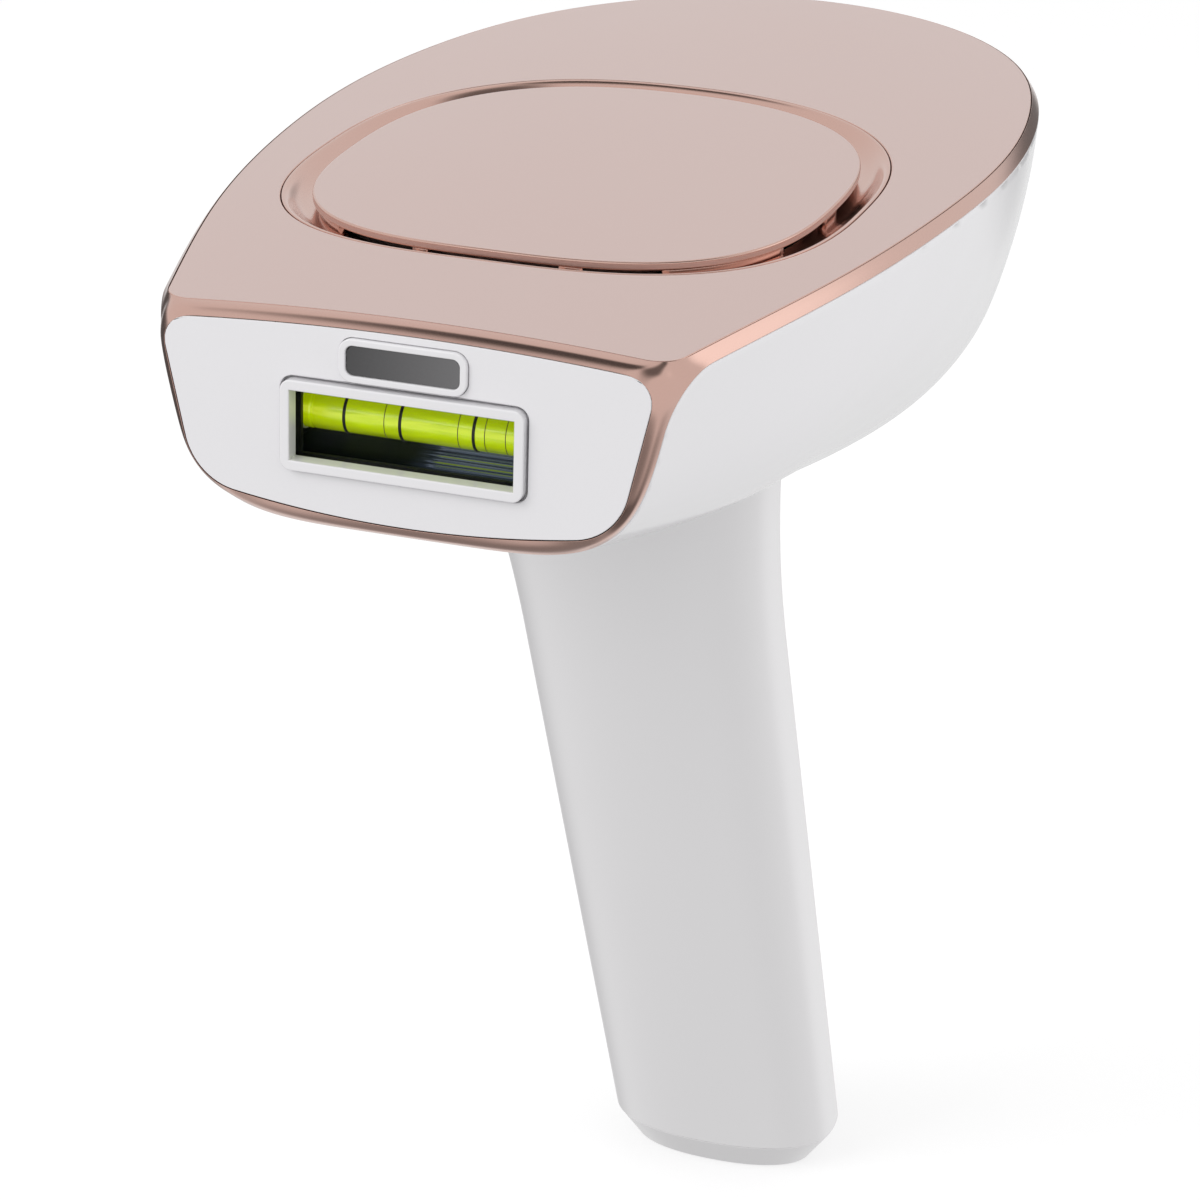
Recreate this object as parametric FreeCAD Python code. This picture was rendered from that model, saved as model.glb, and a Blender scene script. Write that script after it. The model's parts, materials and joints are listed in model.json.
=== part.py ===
import FreeCAD, Part
import math
import os

# Gun-shaped intense-pulsed-light hair remover, standing on the flat end of its grip.
# Origin: centre of the grip's end face. +Z up, the treatment window looks along -Y,
# and the object is symmetric about the plane X = 0.

V = FreeCAD.Vector
X_AXIS = V(1, 0, 0)
Y_AXIS = V(0, 1, 0)
Z_AXIS = V(0, 0, 1)

# Treatment window: the light exit is 30 x 9.24 mm, a nominal 3 cm2 spot.
WINDOW_W = 30.0
WINDOW_H = 9.24
WINDOW_Z = 176.8

# Head: plan outline of the top plate's edge, front corner to rear tip, right half.
FACE_Y = -152.8
PLATE_FRONT_Y = -150.3
PLAN_POINTS = [(33.9, -150.3), (35.6, -144.0), (43.9, -111.0), (49.0, -76.0),
               (50.1, -53.0), (46.6, -20.0), (39.0, 2.6), (25.1, 19.5), (0.0, 28.2)]
CROWN_ACROSS_R = 417.0
CROWN_ALONG_R = 1389.0
CROWN_Y = -50.3
CROWN_Z = 195.1

# Trim band round the plate, and the bezel round the white face.
BAND_OUT = 1.0
BAND_DROP = 1.7
CORNER_WEB_R = 7.0
BAND_LIP = 0.15
HAIRLINE = 0.12
FACE_UPPER_R = 3.4
FACE_LOWER_R = 8.5

# Hull under the trim: depth below the band along the head.
HULL_FRONT_DEPTH = 25.7
HULL_KEEL_DEPTH = 46.5
HULL_KEEL_Y = -41.0
HULL_TIP_Y = 29.2
HULL_WALL = 2.0
RIM_GAP = 0.04
HULL_POINTS = 28
DENSE_STEPS = 240
CUTTER_RISE = 2.0
ROOF_Z = 200.0

# Grip: a leaning column with a D-shaped section, flat towards the treatment side.
GRIP_LEAN = 0.462
GRIP_HALF_W = 19.0
GRIP_TOP_HALF_W = 20.4
GRIP_FRONT_HALF_D = 12.1
GRIP_REAR_HALF_D = 17.0
GRIP_EXPONENT = 2.25
GRIP_WALL = 2.0
CAP_Z = 5.45
CAP_INSET = 4.0

# Vent ring and centre panel in the top plate.
RING_Y = -84.0
RING_HALF_W = 38.5
RING_HALF_L = 42.6
PANEL_HALF_W = 35.3
PANEL_HALF_L = 39.6
RING_EXPONENT = 2.6
OVAL_POINTS = 40

# Skin sensor above the window.
SENSOR_Z = 186.25
SENSOR_W = 17.2
SENSOR_H = 5.8
LENS_W = 15.2
LENS_H = 3.9

# Contact frame round the light exit: its nose, flange and ears, and what it presses on.
CONTACT_PROUD = 1.0
CONTACT_TRAVEL = 0.8
NOSE_W = 32.6
NOSE_H = 12.0
NOSE_CLEARANCE = 0.3
FLANGE_BACK = 2.3
FLANGE_T = 0.9
SPRING_X = 21.6
SPRING_TURNS = 5
SPRING_PITCH = 0.4
SPRING_WIRE = 0.3
SWITCH_X = 25.2
SWITCH_SLACK = 0.15

# Pane, lamp and its housing behind the window.
PANE_Y = -148.7
LAMP_Y = -144.4
LAMP_Z = 176.35
SLEEVE_R = 2.75
SLEEVE_BORE_R = 2.1
SLEEVE_HALF_L = 16.2
LAMP_BANDS_X = (-10.3, -2.7, 7.2)
LAMP_BAND_W = 0.4
LAMP_BAND_R = 2.87
LAMP_HOUSING_FRONT_Y = -147.5
LAMP_HOUSING_BACK_Y = -134.0

# Chassis, board and fan.
CHASSIS_Z = 164.2
BOARD_Z = 168.2
FAN_Y = -84.0
FAN_FLOOR_Z = 171.0
FAN_TOP_Z = 185.0
FAN_SHAFT_R = 1.5
FAN_BLADES = 11
FAN_POST_X = 28.5
FAN_POST_Y = 26.0

# Pulse button on the grip's rear, level button and lights on the hull's rear underside.
BUTTON_ROOT = -3.0
PULSE_Z = 112.0
PULSE_W = 12.0
PULSE_L = 20.0
PULSE_TOP = 1.2
PULSE_TRAVEL = 1.0
LEVEL_Y = -11.0
LEVEL_R = 4.9
LEVEL_HOLE_R = 5.3
LEVEL_TOP = 1.0
LEVEL_TRAVEL = 0.8
LIGHT_COUNT = 5
LIGHT_PITCH = 5.5
LIGHT_UP = -14.0
LIGHT_R = 1.2
LIGHT_HOLE_R = 1.25

# Flash capacitor in the grip, and the end cap's screws.
CAPACITOR_R = 9.6
CAP_SCREW_X = 10.4
CAP_SCREW_R = 2.2
SCREW_RECESS_R = 2.4
SCREW_RECESS_DEPTH = 1.8

# Power inlet in the grip's end.
INLET_R = 4.6
INLET_DEPTH = 4.0
INLET_Y = 6.3
JACK_HOLE_R = 3.0
JACK_BODY_R = 4.3
JACK_TOP_Z = 13.0
JACK_HOLE_TOP_Z = 11.5
JACK_PIN_R = 1.0


# ---------------------------------------------------------------- helpers

def box(x_size, y_size, z_size, centre):
    """Box of the given sizes about its centre point."""
    corner = V(centre[0] - x_size / 2, centre[1] - y_size / 2, centre[2] - z_size / 2)
    return Part.makeBox(x_size, y_size, z_size, corner)


def rounded_box(x_size, y_size, z_size, centre, radius, axis):
    """Box whose four edges along the named axis are rounded."""
    solid = box(x_size, y_size, z_size, centre)
    return solid.makeFillet(radius, edges_along(solid, axis))


def edges_along(solid, axis):
    """Straight edges of a box that run along X, Y or Z."""
    chosen = []
    for edge in solid.Edges:
        start = edge.Vertexes[0].Point
        end = edge.Vertexes[-1].Point
        run = (end - start).normalize()
        if abs(run.dot(axis)) > 0.99:
            chosen.append(edge)
    return chosen


def cylinder(radius, start, end):
    """Round bar from one point to another."""
    start = V(*start)
    run = V(*end) - start
    return Part.makeCylinder(radius, run.Length, start, run)


def tube(outer, inner, start, end):
    """Round tube from one point to another."""
    return cylinder(outer, start, end).cut(cylinder(inner, start, end))


def fuse(solids):
    """One shape from overlapping solids."""
    return solids[0].multiFuse(solids[1:]).removeSplitter()


def group(solids):
    """Separate solids kept together in one node."""
    return Part.makeCompound(solids)


def spline(points):
    """Smooth open curve through points."""
    curve = Part.BSplineCurve()
    curve.interpolate(points)
    return curve


def even_spline(points, count, closed):
    """Smooth curve through points picked evenly along a dense line."""
    line = Part.makePolygon(points + points[:1]) if closed else Part.makePolygon(points)
    chosen = line.discretize(count + 1)
    if closed:
        chosen = chosen[:-1]
    shares = [step / count for step in range(count + 1)]
    curve = Part.BSplineCurve()
    curve.interpolate(Points=chosen, PeriodicFlag=closed, Parameters=shares)
    return curve


def power(value, exponent):
    """Signed power, for superellipses."""
    return math.copysign(abs(value) ** exponent, value)


def blend(start, end, share):
    """Smooth change from start to end as share goes from 0 to 1."""
    share = min(max(share, 0.0), 1.0)
    return start + (end - start) * share * share * (3 - 2 * share)


# ---------------------------------------------------------------- head form

def crown_z(x, y, drop=0.0):
    """Height of the head's crowned top surface."""
    across = math.sqrt((CROWN_ACROSS_R - drop) ** 2 - x * x) - CROWN_ACROSS_R
    reach = CROWN_ALONG_R + across
    return CROWN_Z - CROWN_ALONG_R + math.sqrt(reach ** 2 - (y - CROWN_Y) ** 2)


def under_crown(drop):
    """Everything below the crowned surface lowered by drop."""
    ring_r = CROWN_ALONG_R - CROWN_ACROSS_R
    centre = V(0, CROWN_Y, CROWN_Z - CROWN_ALONG_R)
    return Part.makeTorus(ring_r, CROWN_ACROSS_R - drop, centre, X_AXIS)


def plan_curve(offset):
    """Plan outline of the head, right front corner round the tip to the left one."""
    points = [V(x, y, 0) for x, y in PLAN_POINTS]
    points += [V(-x, y, 0) for x, y in PLAN_POINTS[-2::-1]]
    curve = spline(points)
    if offset == 0:
        return curve
    moved = []
    samples = 32
    for step in range(samples + 1):
        u = curve.FirstParameter + (curve.LastParameter - curve.FirstParameter) * step / samples
        run = curve.tangent(u)[0]
        moved.append(curve.value(u) + V(run.y, -run.x, 0) * offset)
    return spline(moved)


PLAN_CREASE = plan_curve(0.0)
PLAN_BAND = plan_curve(BAND_OUT)


def plan_prism(offset, z_low, z_high, front_y, corner_r):
    """Upright prism on the offset plan outline, closed by a straight front edge."""
    edge = plan_curve(offset).toShape()
    right = edge.valueAt(edge.FirstParameter)
    left = edge.valueAt(edge.LastParameter)
    face = Part.Face(Part.Wire([edge, Part.makeLine(left, right)]))
    face.translate(V(0, 0, z_low))
    prism = face.extrude(V(0, 0, z_high - z_low))
    keep = box(200, 200, 100, (0, front_y + 100, (z_low + z_high) / 2))
    prism = prism.common(keep)
    if corner_r == 0:
        return prism
    upright = [e for e in edges_along(prism, Z_AXIS) if e.CenterOfMass.y < front_y + 1]
    return prism.makeFillet(corner_r, upright)


def half_width(curve, y):
    """Half width of a plan curve at y, found by bisection from corner to tip."""
    low = curve.FirstParameter
    high = (curve.FirstParameter + curve.LastParameter) / 2
    for _ in range(40):
        middle = (low + high) / 2
        if curve.value(middle).y < y:
            low = middle
        else:
            high = middle
    return curve.value(low).x


def hull_depth(y):
    """Depth of the hull below the band, deepest where the grip joins it."""
    if y < HULL_KEEL_Y:
        share = (HULL_KEEL_Y - y) / (HULL_KEEL_Y - PLATE_FRONT_Y)
        return HULL_KEEL_DEPTH - (HULL_KEEL_DEPTH - HULL_FRONT_DEPTH) * share ** 1.36
    return HULL_KEEL_DEPTH * (HULL_TIP_Y - y) / (HULL_TIP_Y - HULL_KEEL_Y)


def rim_z(y):
    """Height of the seam between the trim band and the hull."""
    inner = half_width(PLAN_CREASE, min(max(y, PLATE_FRONT_Y), PLAN_POINTS[-1][1] - 0.05))
    return crown_z(inner, y) - BAND_DROP


def hull_section(y, inset):
    """Closed cross-section of the hull at y: a U under a straight rim, raised for a cutter."""
    rise = CUTTER_RISE if inset else 0.0
    width = half_width(PLAN_BAND, y) - inset
    depth = hull_depth(y) - inset + rise
    share = (y - PLATE_FRONT_Y) / 60.0
    exponent = blend(5.0, 2.9, share)
    lean = blend(0.22, 0.06, share)
    points = u_curve(y, width, depth, rim_z(y) + rise, exponent, lean)
    edge = even_spline(points, HULL_POINTS, False).toShape()
    return Part.Wire([edge, Part.makeLine(points[-1], points[0])])


def section_stations(front_y, rear_y, count):
    """Places of the cross-sections, closer together towards the tip."""
    reach = math.sqrt(HULL_TIP_Y - front_y)
    last = math.sqrt(HULL_TIP_Y - rear_y)
    backs = [reach + (last - reach) * step / (count - 1) for step in range(count)]
    return [HULL_TIP_Y - back * back for back in backs]


def hull_form(inset, front_y, rear_y):
    """Solid form of the hull, from its open front to its tip."""
    sections = [hull_section(y, inset) for y in section_stations(front_y, rear_y, 26)]
    return Part.makeLoft(sections, True, False)


def slope_edges(block):
    """Top edges of an upright block that follow the plan outline under the crown."""
    chosen = []
    for edge in block.Edges:
        middle = edge.valueAt((edge.FirstParameter + edge.LastParameter) / 2)
        on_crown = abs(middle.z - crown_z(middle.x, middle.y)) < 0.05
        on_outline = middle.z < CROWN_Z - 2.0 and middle.y > PLATE_FRONT_Y + 0.5
        if on_crown and on_outline:
            chosen.append(edge)
    return chosen


def above_rim(gap):
    """Everything above the seam line between band and hull."""
    stations = section_stations(FACE_Y, PLAN_POINTS[-1][1], 15)
    points = [V(-80, y, rim_z(max(y, PLATE_FRONT_Y)) + gap) for y in stations]
    line = spline(points).toShape()
    rear = V(-80, 60, points[-1].z)
    corners = [points[-1], rear, V(-80, 60, 230), V(-80, points[0].y, 230), points[0]]
    sides = [Part.makeLine(a, b) for a, b in zip(corners, corners[1:])]
    return Part.Face(Part.Wire([line] + sides)).extrude(V(160, 0, 0))


def corner_web():
    """Side-view region behind the bezel's top corners that belongs to the trim."""
    rim = rim_z(PLATE_FRONT_Y) + 1.0
    reach = CORNER_WEB_R + 0.2
    corner = box(160, reach, reach, (0, PLATE_FRONT_Y + reach / 2, rim - reach / 2))
    hub = V(-80, PLATE_FRONT_Y + reach, rim - reach)
    return corner.cut(Part.makeCylinder(CORNER_WEB_R, 160, hub, X_AXIS))


def superellipse(half_x, half_y, exponent, centre_y, z):
    """Closed squarish oval at height z."""
    points = []
    for step in range(DENSE_STEPS):
        angle = 2 * math.pi * step / DENSE_STEPS
        x = half_x * power(math.cos(angle), 2 / exponent)
        y = half_y * power(math.sin(angle), 2 / exponent)
        points.append(V(x, centre_y + y, z))
    return Part.Wire([even_spline(points, OVAL_POINTS, True).toShape()])


def ring_prism(inset, z_low, z_high):
    """Upright prism on the vent ring's outline moved inwards by inset."""
    wire = superellipse(RING_HALF_W - inset, RING_HALF_L - inset, RING_EXPONENT, RING_Y, z_low)
    return Part.Face(wire).extrude(V(0, 0, z_high - z_low))


# ---------------------------------------------------------------- bezel and face

def face_outline(inset, y):
    """Outline of the white face: bowed top, leaning sides, rounded lower corners."""
    top_mid = V(0, y, 190.3 - inset)
    top_right = V(33.3 - inset, y, 188.8 - inset)
    low_right = V(28.55 - inset, y, 167.6 + inset)
    low_mid = V(0, y, 164.8 + inset)
    top_left = V(-top_right.x, y, top_right.z)
    low_left = V(-low_right.x, y, low_right.z)
    return Part.Wire([Part.Arc(top_left, top_mid, top_right).toShape(),
                      Part.makeLine(top_right, low_right),
                      Part.Arc(low_right, low_mid, low_left).toShape(),
                      Part.makeLine(low_left, top_left)])


def face_prism(inset, y_front, y_back):
    """Block on the white face's outline, with its four corners rounded."""
    block = Part.Face(face_outline(inset, y_front)).extrude(V(0, y_back - y_front, 0))
    upper = [e for e in edges_along(block, Y_AXIS) if e.CenterOfMass.z > 180]
    block = block.makeFillet(FACE_UPPER_R, upper)
    lower = [e for e in edges_along(block, Y_AXIS) if e.CenterOfMass.z < 170 and e.CenterOfMass.z > 167]
    return block.makeFillet(FACE_LOWER_R, lower)


def bezel_wire(y, u_points, shoulder, top_z):
    """Four-sided outline: a U, two shoulder lines and a bowed top."""
    left = V(-shoulder.x, y, shoulder.z)
    right = V(shoulder.x, y, shoulder.z)
    return Part.Wire([even_spline(u_points, HULL_POINTS, False).toShape(), Part.makeLine(u_points[-1], left),
                      Part.Arc(left, V(0, y, top_z), right).toShape(),
                      Part.makeLine(right, u_points[0])])


def u_curve(y, width, depth, rim, exponent, lean):
    """Points of a U-shaped section, right rim to left rim."""
    points = []
    for step in range(DENSE_STEPS + 1):
        angle = math.pi * step / DENSE_STEPS
        down = depth * abs(math.sin(angle)) ** (2 / exponent)
        across = (width - lean * down) * power(math.cos(angle), 2 / exponent)
        points.append(V(across, y, rim - down))
    return points


def bezel_slope():
    """Solid whose skin slopes from the hull's front section to the white face."""
    y = PLATE_FRONT_Y
    half = PLAN_POINTS[0][0]
    outer_u = u_curve(y, half + BAND_OUT, HULL_FRONT_DEPTH, rim_z(y), 5.0, 0.22)
    outer = bezel_wire(y, outer_u, V(half, y, crown_z(half, y)), crown_z(0, y))
    inner_u = u_curve(FACE_Y, 32.9, 22.4, 187.2, 5.7, 0.2)
    inner = bezel_wire(FACE_Y, inner_u, V(30.8, FACE_Y, 189.1), 190.3)
    return Part.makeLoft([outer, inner], True, True)


# ---------------------------------------------------------------- grip form

def grip_centre_y(z):
    """The grip leans back towards its end."""
    return -GRIP_LEAN * (z - CAP_Z)


def grip_section(z, inset):
    """D-shaped closed section of the grip at height z, flatter in front."""
    half_w = GRIP_HALF_W + (GRIP_TOP_HALF_W - GRIP_HALF_W) * (z - CAP_Z) / 130.0
    flare = 2.2 * max(0.0, (z - 112.0) / 34.0) ** 2
    half_w += flare - inset
    points = []
    for step in range(DENSE_STEPS):
        angle = 2 * math.pi * step / DENSE_STEPS
        half_d = GRIP_REAR_HALF_D if math.sin(angle) > 0 else GRIP_FRONT_HALF_D
        half_d += 0.6 * flare - inset
        x = half_w * power(math.cos(angle), 2 / GRIP_EXPONENT)
        y = half_d * power(math.sin(angle), 2 / GRIP_EXPONENT)
        points.append(V(x, grip_centre_y(z) + y, z))
    return Part.Wire([even_spline(points, OVAL_POINTS, True).toShape()])


def grip_form(inset, z_low, z_high):
    """Solid column of the grip between two heights."""
    count = 7
    heights = [z_low + (z_high - z_low) * step / (count - 1) for step in range(count)]
    return Part.makeLoft([grip_section(z, inset) for z in heights], True, False)


def lean_point(z, rearward):
    """Point on the grip's mid plane, moved rearward square to its lean."""
    lean = math.atan(GRIP_LEAN)
    return V(0, grip_centre_y(z) + rearward * math.cos(lean), z + rearward * math.sin(lean))


def place(solid, tilt_deg, origin):
    """Turn a solid about X, then move it to its place."""
    placed = solid.copy()
    placed.rotate(V(0, 0, 0), X_AXIS, tilt_deg)
    placed.translate(origin)
    return placed


# The pulse button's frame: +Z out of the grip's rear, +Y down along the grip.
PULSE_TILT = -(90.0 - math.degrees(math.atan(GRIP_LEAN)))
PULSE_ORIGIN = V(0, grip_centre_y(PULSE_Z) + GRIP_REAR_HALF_D, PULSE_Z)

# The level button's frame: +Z out of the hull's rising rear underside.
HULL_SLOPE = math.degrees(math.atan(HULL_KEEL_DEPTH / (HULL_TIP_Y - HULL_KEEL_Y)))
LEVEL_TILT = -(180.0 - HULL_SLOPE)
LEVEL_ORIGIN = V(0, LEVEL_Y, rim_z(LEVEL_Y) - hull_depth(LEVEL_Y))


def oval(width, length, z_low, z_high):
    """Stadium-shaped upright block about the Z axis."""
    block = box(width, length, z_high - z_low, (0, 0, (z_low + z_high) / 2))
    return block.makeFillet(width / 2 - 0.01, edges_along(block, Z_AXIS))


# ---------------------------------------------------------------- head skin

def make_top_plate():
    """Crowned plate inside the trim band, with the vent ring's opening."""
    inset = BAND_LIP + HAIRLINE
    plate = plan_prism(-inset, 180.0, ROOF_Z, PLATE_FRONT_Y + inset, 4.5)
    plate = plate.common(under_crown(0.0)).cut(under_crown(1.2))
    return plate.cut(ring_prism(-0.9, 180.0, ROOF_Z))


def make_trim_frame():
    """Band round the plate, bezel round the face, and the webs between them."""
    block = plan_prism(BAND_OUT, 180.0, ROOF_Z, PLATE_FRONT_Y, 0).common(under_crown(0.0))
    block = block.makeChamfer(BAND_DROP, BAND_OUT, slope_edges(block))
    pocket = plan_prism(-BAND_LIP, 180.0, ROOF_Z, PLATE_FRONT_Y + BAND_LIP, 4.5)
    band = block.common(above_rim(0.0)).cut(pocket)
    ledge = plan_prism(0.4, 180.0, ROOF_Z, PLATE_FRONT_Y, 0).cut(
        plan_prism(-4.0, 179.0, ROOF_Z + 1, PLATE_FRONT_Y + 4.0, 3.0))
    ledge = ledge.common(under_crown(1.3)).common(above_rim(0.0))
    collar = plan_prism(-1.9, 180.0, ROOF_Z, PLATE_FRONT_Y + 2.0, 3.0).cut(
        plan_prism(-4.0, 179.0, ROOF_Z + 1, PLATE_FRONT_Y + 4.0, 3.0))
    collar = collar.common(under_crown(1.3)).cut(under_crown(3.4))
    collar = collar.cut(box(200, 30, 60, (0, HULL_TIP_Y - 10.0 + 15, 190)))
    bezel = bezel_slope()
    web = hull_form(0.0, PLATE_FRONT_Y, HULL_TIP_Y - 0.15).common(corner_web())
    web = web.cut(hull_form(1.2, PLATE_FRONT_Y - 1.0, HULL_TIP_Y - 10.0))
    frame = band.multiFuse([ledge, collar, bezel, web])
    frame = frame.cut(face_prism(0.0, FACE_Y - 1, PLATE_FRONT_Y + 4.5))
    return frame.removeSplitter()


def outer_hull():
    """Solid form inside the hull's outer skin."""
    return hull_form(0.0, PLATE_FRONT_Y + 0.05, HULL_TIP_Y - 0.15)


def make_head_shell():
    """White hull: thin-walled, open at the front, with holes for grip and controls."""
    shell = outer_hull().cut(above_rim(-RIM_GAP))
    shell = shell.cut(hull_form(HULL_WALL, PLATE_FRONT_Y - 1.0, HULL_TIP_Y - 7.0))
    shell = shell.cut(corner_web())
    shell = shell.cut(grip_form(GRIP_WALL + 0.6, 120.0, 166.0))
    shell = shell.cut(place(cylinder(LEVEL_HOLE_R, (0, 0, -6), (0, 0, 4)), LEVEL_TILT, LEVEL_ORIGIN))
    for x in light_places():
        hole = cylinder(LIGHT_HOLE_R, (x, LIGHT_UP, -6), (x, LIGHT_UP, 4))
        shell = shell.cut(place(hole, LEVEL_TILT, LEVEL_ORIGIN))
    return shell


def light_places():
    """Where the indicator lights stand across the hull."""
    return [(step - (LIGHT_COUNT - 1) / 2) * LIGHT_PITCH for step in range(LIGHT_COUNT)]


def make_vent_ring():
    """Sloped groove round the centre panel, with air slots in its inner wall."""
    floor_z = 190.2
    slope_top = superellipse(RING_HALF_W + 0.6, RING_HALF_L + 0.6, RING_EXPONENT, RING_Y, 196.0)
    slope_low = superellipse(PANEL_HALF_W + 1.2, PANEL_HALF_L + 1.2, RING_EXPONENT, RING_Y, floor_z)
    funnel = Part.makeLoft([slope_low, slope_top], True, True)
    rim = ring_prism(-0.78, floor_z - 1.2, 199.0).common(under_crown(0.0))
    tray = rim.cut(funnel)
    cage = ring_prism(5.2, floor_z - 0.2, 199.0).common(under_crown(1.25))
    tray = tray.fuse(cage).cut(ring_prism(6.4, 180.0, ROOF_Z))
    for cutter in slot_cutters(floor_z):
        tray = tray.cut(cutter)
    return tray.removeSplitter()


def slot_cutters(floor_z):
    """Air slots: three long ones in front, three behind and two on each side."""
    height = 1.5
    cutters = []
    for x, length in ((-17.5, 11.0), (0.0, 17.0), (17.0, 9.0)):
        for y in (RING_Y - RING_HALF_L, RING_Y + RING_HALF_L):
            cutters.append(box(length, 30.0, height, (x, y, floor_z + 0.1 + height / 2)))
    for y in (RING_Y - 9.0, RING_Y + 9.0):
        cutters.append(box(90.0, 13.0, height, (0, y, floor_z + 0.1 + height / 2)))
    return cutters


def make_vent_panel():
    """Squarish oval lid over the air intake, flush with the plate."""
    inset = RING_HALF_W - PANEL_HALF_W
    lid = ring_prism(inset, 180.0, ROOF_Z).common(under_crown(0.0))
    lid = lid.cut(under_crown(1.2))
    boss_ring = ring_prism(6.5, 180.0, ROOF_Z).cut(ring_prism(8.0, 179.0, ROOF_Z + 1))
    boss_ring = boss_ring.common(under_crown(1.1)).cut(under_crown(3.4))
    return lid.fuse(boss_ring).removeSplitter()


def make_air_filter():
    """Thin filter mat under the centre panel."""
    return ring_prism(8.5, 188.4, 189.6)


def make_front_plate():
    """White face with openings for the contact frame and the skin sensor."""
    plate = face_prism(HAIRLINE, FACE_Y, FACE_Y + 1.2)
    opening_w = NOSE_W + 2 * NOSE_CLEARANCE
    opening_h = NOSE_H + 2 * NOSE_CLEARANCE
    window = rounded_box(opening_w, 10, opening_h, (0, FACE_Y, WINDOW_Z), 1.7, Y_AXIS)
    sensor = rounded_box(SENSOR_W, 10, SENSOR_H, (0, FACE_Y, SENSOR_Z), 1.9, Y_AXIS)
    return plate.cut(window).cut(sensor)


# ---------------------------------------------------------------- sensor and window

def make_sensor_bezel():
    """Raised white rim round the skin-tone sensor."""
    rim = rounded_box(SENSOR_W - 0.1, 2.0, SENSOR_H - 0.1, (0, FACE_Y + 0.4, SENSOR_Z), 1.85, Y_AXIS)
    rim = rim.makeFillet(0.35, [e for e in rim.Edges if e.BoundBox.YMax < FACE_Y - 0.55])
    return rim.cut(rounded_box(LENS_W, 6, LENS_H, (0, FACE_Y, SENSOR_Z), 1.0, Y_AXIS))


def make_sensor_lens():
    """Dark window over the skin-tone sensor."""
    return rounded_box(LENS_W - 0.1, 1.6, LENS_H - 0.1, (0, FACE_Y + 0.5, SENSOR_Z), 0.95, Y_AXIS)


def make_sensor_board():
    """Small board that carries the sensor's emitter and receiver."""
    board = box(18.0, 0.8, 3.4, (0, FACE_Y + 2.6, 187.0))
    chips = [box(2.4, 0.8, 2.0, (x, FACE_Y + 1.8, 186.6)) for x in (-4.0, 4.0)]
    return fuse([board] + chips)


def make_contact_frame():
    """Sprung frame round the light exit; it presses in against the skin."""
    y_front = FACE_Y - CONTACT_PROUD
    y_back = FACE_Y + FLANGE_BACK
    nose = rounded_box(NOSE_W, y_back - y_front, NOSE_H, (0, (y_front + y_back) / 2, WINDOW_Z), 1.5, Y_AXIS)
    nose = nose.makeFillet(0.3, [e for e in nose.Edges if e.BoundBox.YMax < y_front + 0.01])
    flange = box(37.0, FLANGE_T, 15.0, (0, y_back - FLANGE_T / 2, WINDOW_Z))
    ears = box(54.0, FLANGE_T, 8.0, (0, y_back - FLANGE_T / 2, WINDOW_Z))
    frame = nose.multiFuse([flange, ears])
    tunnel = box(WINDOW_W, 12.0, WINDOW_H, (0, y_front, WINDOW_Z))
    step = box(32.0, 4.0, 10.8, (0, y_back + 1.0, WINDOW_Z))
    return frame.cut(tunnel).cut(step).removeSplitter()


def make_window_pane():
    """Clear filter pane between the lamp and the skin."""
    return box(36.0, 1.0, 13.6, (0, PANE_Y, WINDOW_Z))


def make_pane_holder():
    """Thin frame that carries the pane on the lamp housing."""
    frame = box(40.0, 0.65, 16.0, (0, PANE_Y + 0.85, WINDOW_Z))
    return frame.cut(box(31.4, 3.0, 11.0, (0, PANE_Y + 0.85, WINDOW_Z)))


def make_filter_tube():
    """Yellow-green glass sleeve over the flash lamp."""
    return tube(SLEEVE_R, SLEEVE_BORE_R, (-SLEEVE_HALF_L, LAMP_Y, LAMP_Z), (SLEEVE_HALF_L, LAMP_Y, LAMP_Z))


def make_flash_lamp():
    """Quartz flash tube, hollow along its bore."""
    return tube(1.9, 1.3, (-19.0, LAMP_Y, LAMP_Z), (19.0, LAMP_Y, LAMP_Z))


def make_lamp_electrodes():
    """The lamp's two electrode rods."""
    rods = []
    for side in (-1, 1):
        rods.append(cylinder(0.9, (side * 11.0, LAMP_Y, LAMP_Z), (side * 18.9, LAMP_Y, LAMP_Z)))
    return group(rods)


def make_lamp_bands():
    """Three dark bands round the filter tube."""
    bands = []
    half = LAMP_BAND_W / 2
    for x in LAMP_BANDS_X:
        bands.append(tube(LAMP_BAND_R, SLEEVE_R, (x - half, LAMP_Y, LAMP_Z), (x + half, LAMP_Y, LAMP_Z)))
    return group(bands)


def make_lamp_caps():
    """Ceramic caps that hold the lamp and its sleeve at both ends."""
    caps = []
    for side in (-1, 1):
        cap = cylinder(2.95, (side * 16.25, LAMP_Y, LAMP_Z), (side * 20.2, LAMP_Y, LAMP_Z))
        caps.append(cap.cut(cylinder(1.92, (side * 15, LAMP_Y, LAMP_Z), (side * 19.1, LAMP_Y, LAMP_Z))))
    return group(caps)


def lamp_cavity(reach_y, reach_z, half_x):
    """Oval trough shape about the lamp."""
    wire = superellipse(reach_z, reach_y, 2.0, 0.0, 0.0)
    solid = Part.Face(wire).extrude(V(0, 0, 2 * half_x))
    solid.rotate(V(0, 0, 0), Y_AXIS, 90)
    solid.translate(V(-half_x, LAMP_HOUSING_FRONT_Y + 0.1, LAMP_Z))
    return solid


def make_reflector():
    """Polished trough behind the lamp."""
    y_front = LAMP_HOUSING_FRONT_Y + 0.3
    block = box(40.6, 11.0, 12.6, (0, y_front + 5.5, WINDOW_Z - 0.1))
    trough = lamp_cavity(9.4, 5.6, 16.0)
    pockets = [box(4.5, 8.4, 6.3, (side * 18.15, y_front + 3.9, LAMP_Z)) for side in (-1, 1)]
    return block.cut(trough).cut(pockets[0]).cut(pockets[1])


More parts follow.
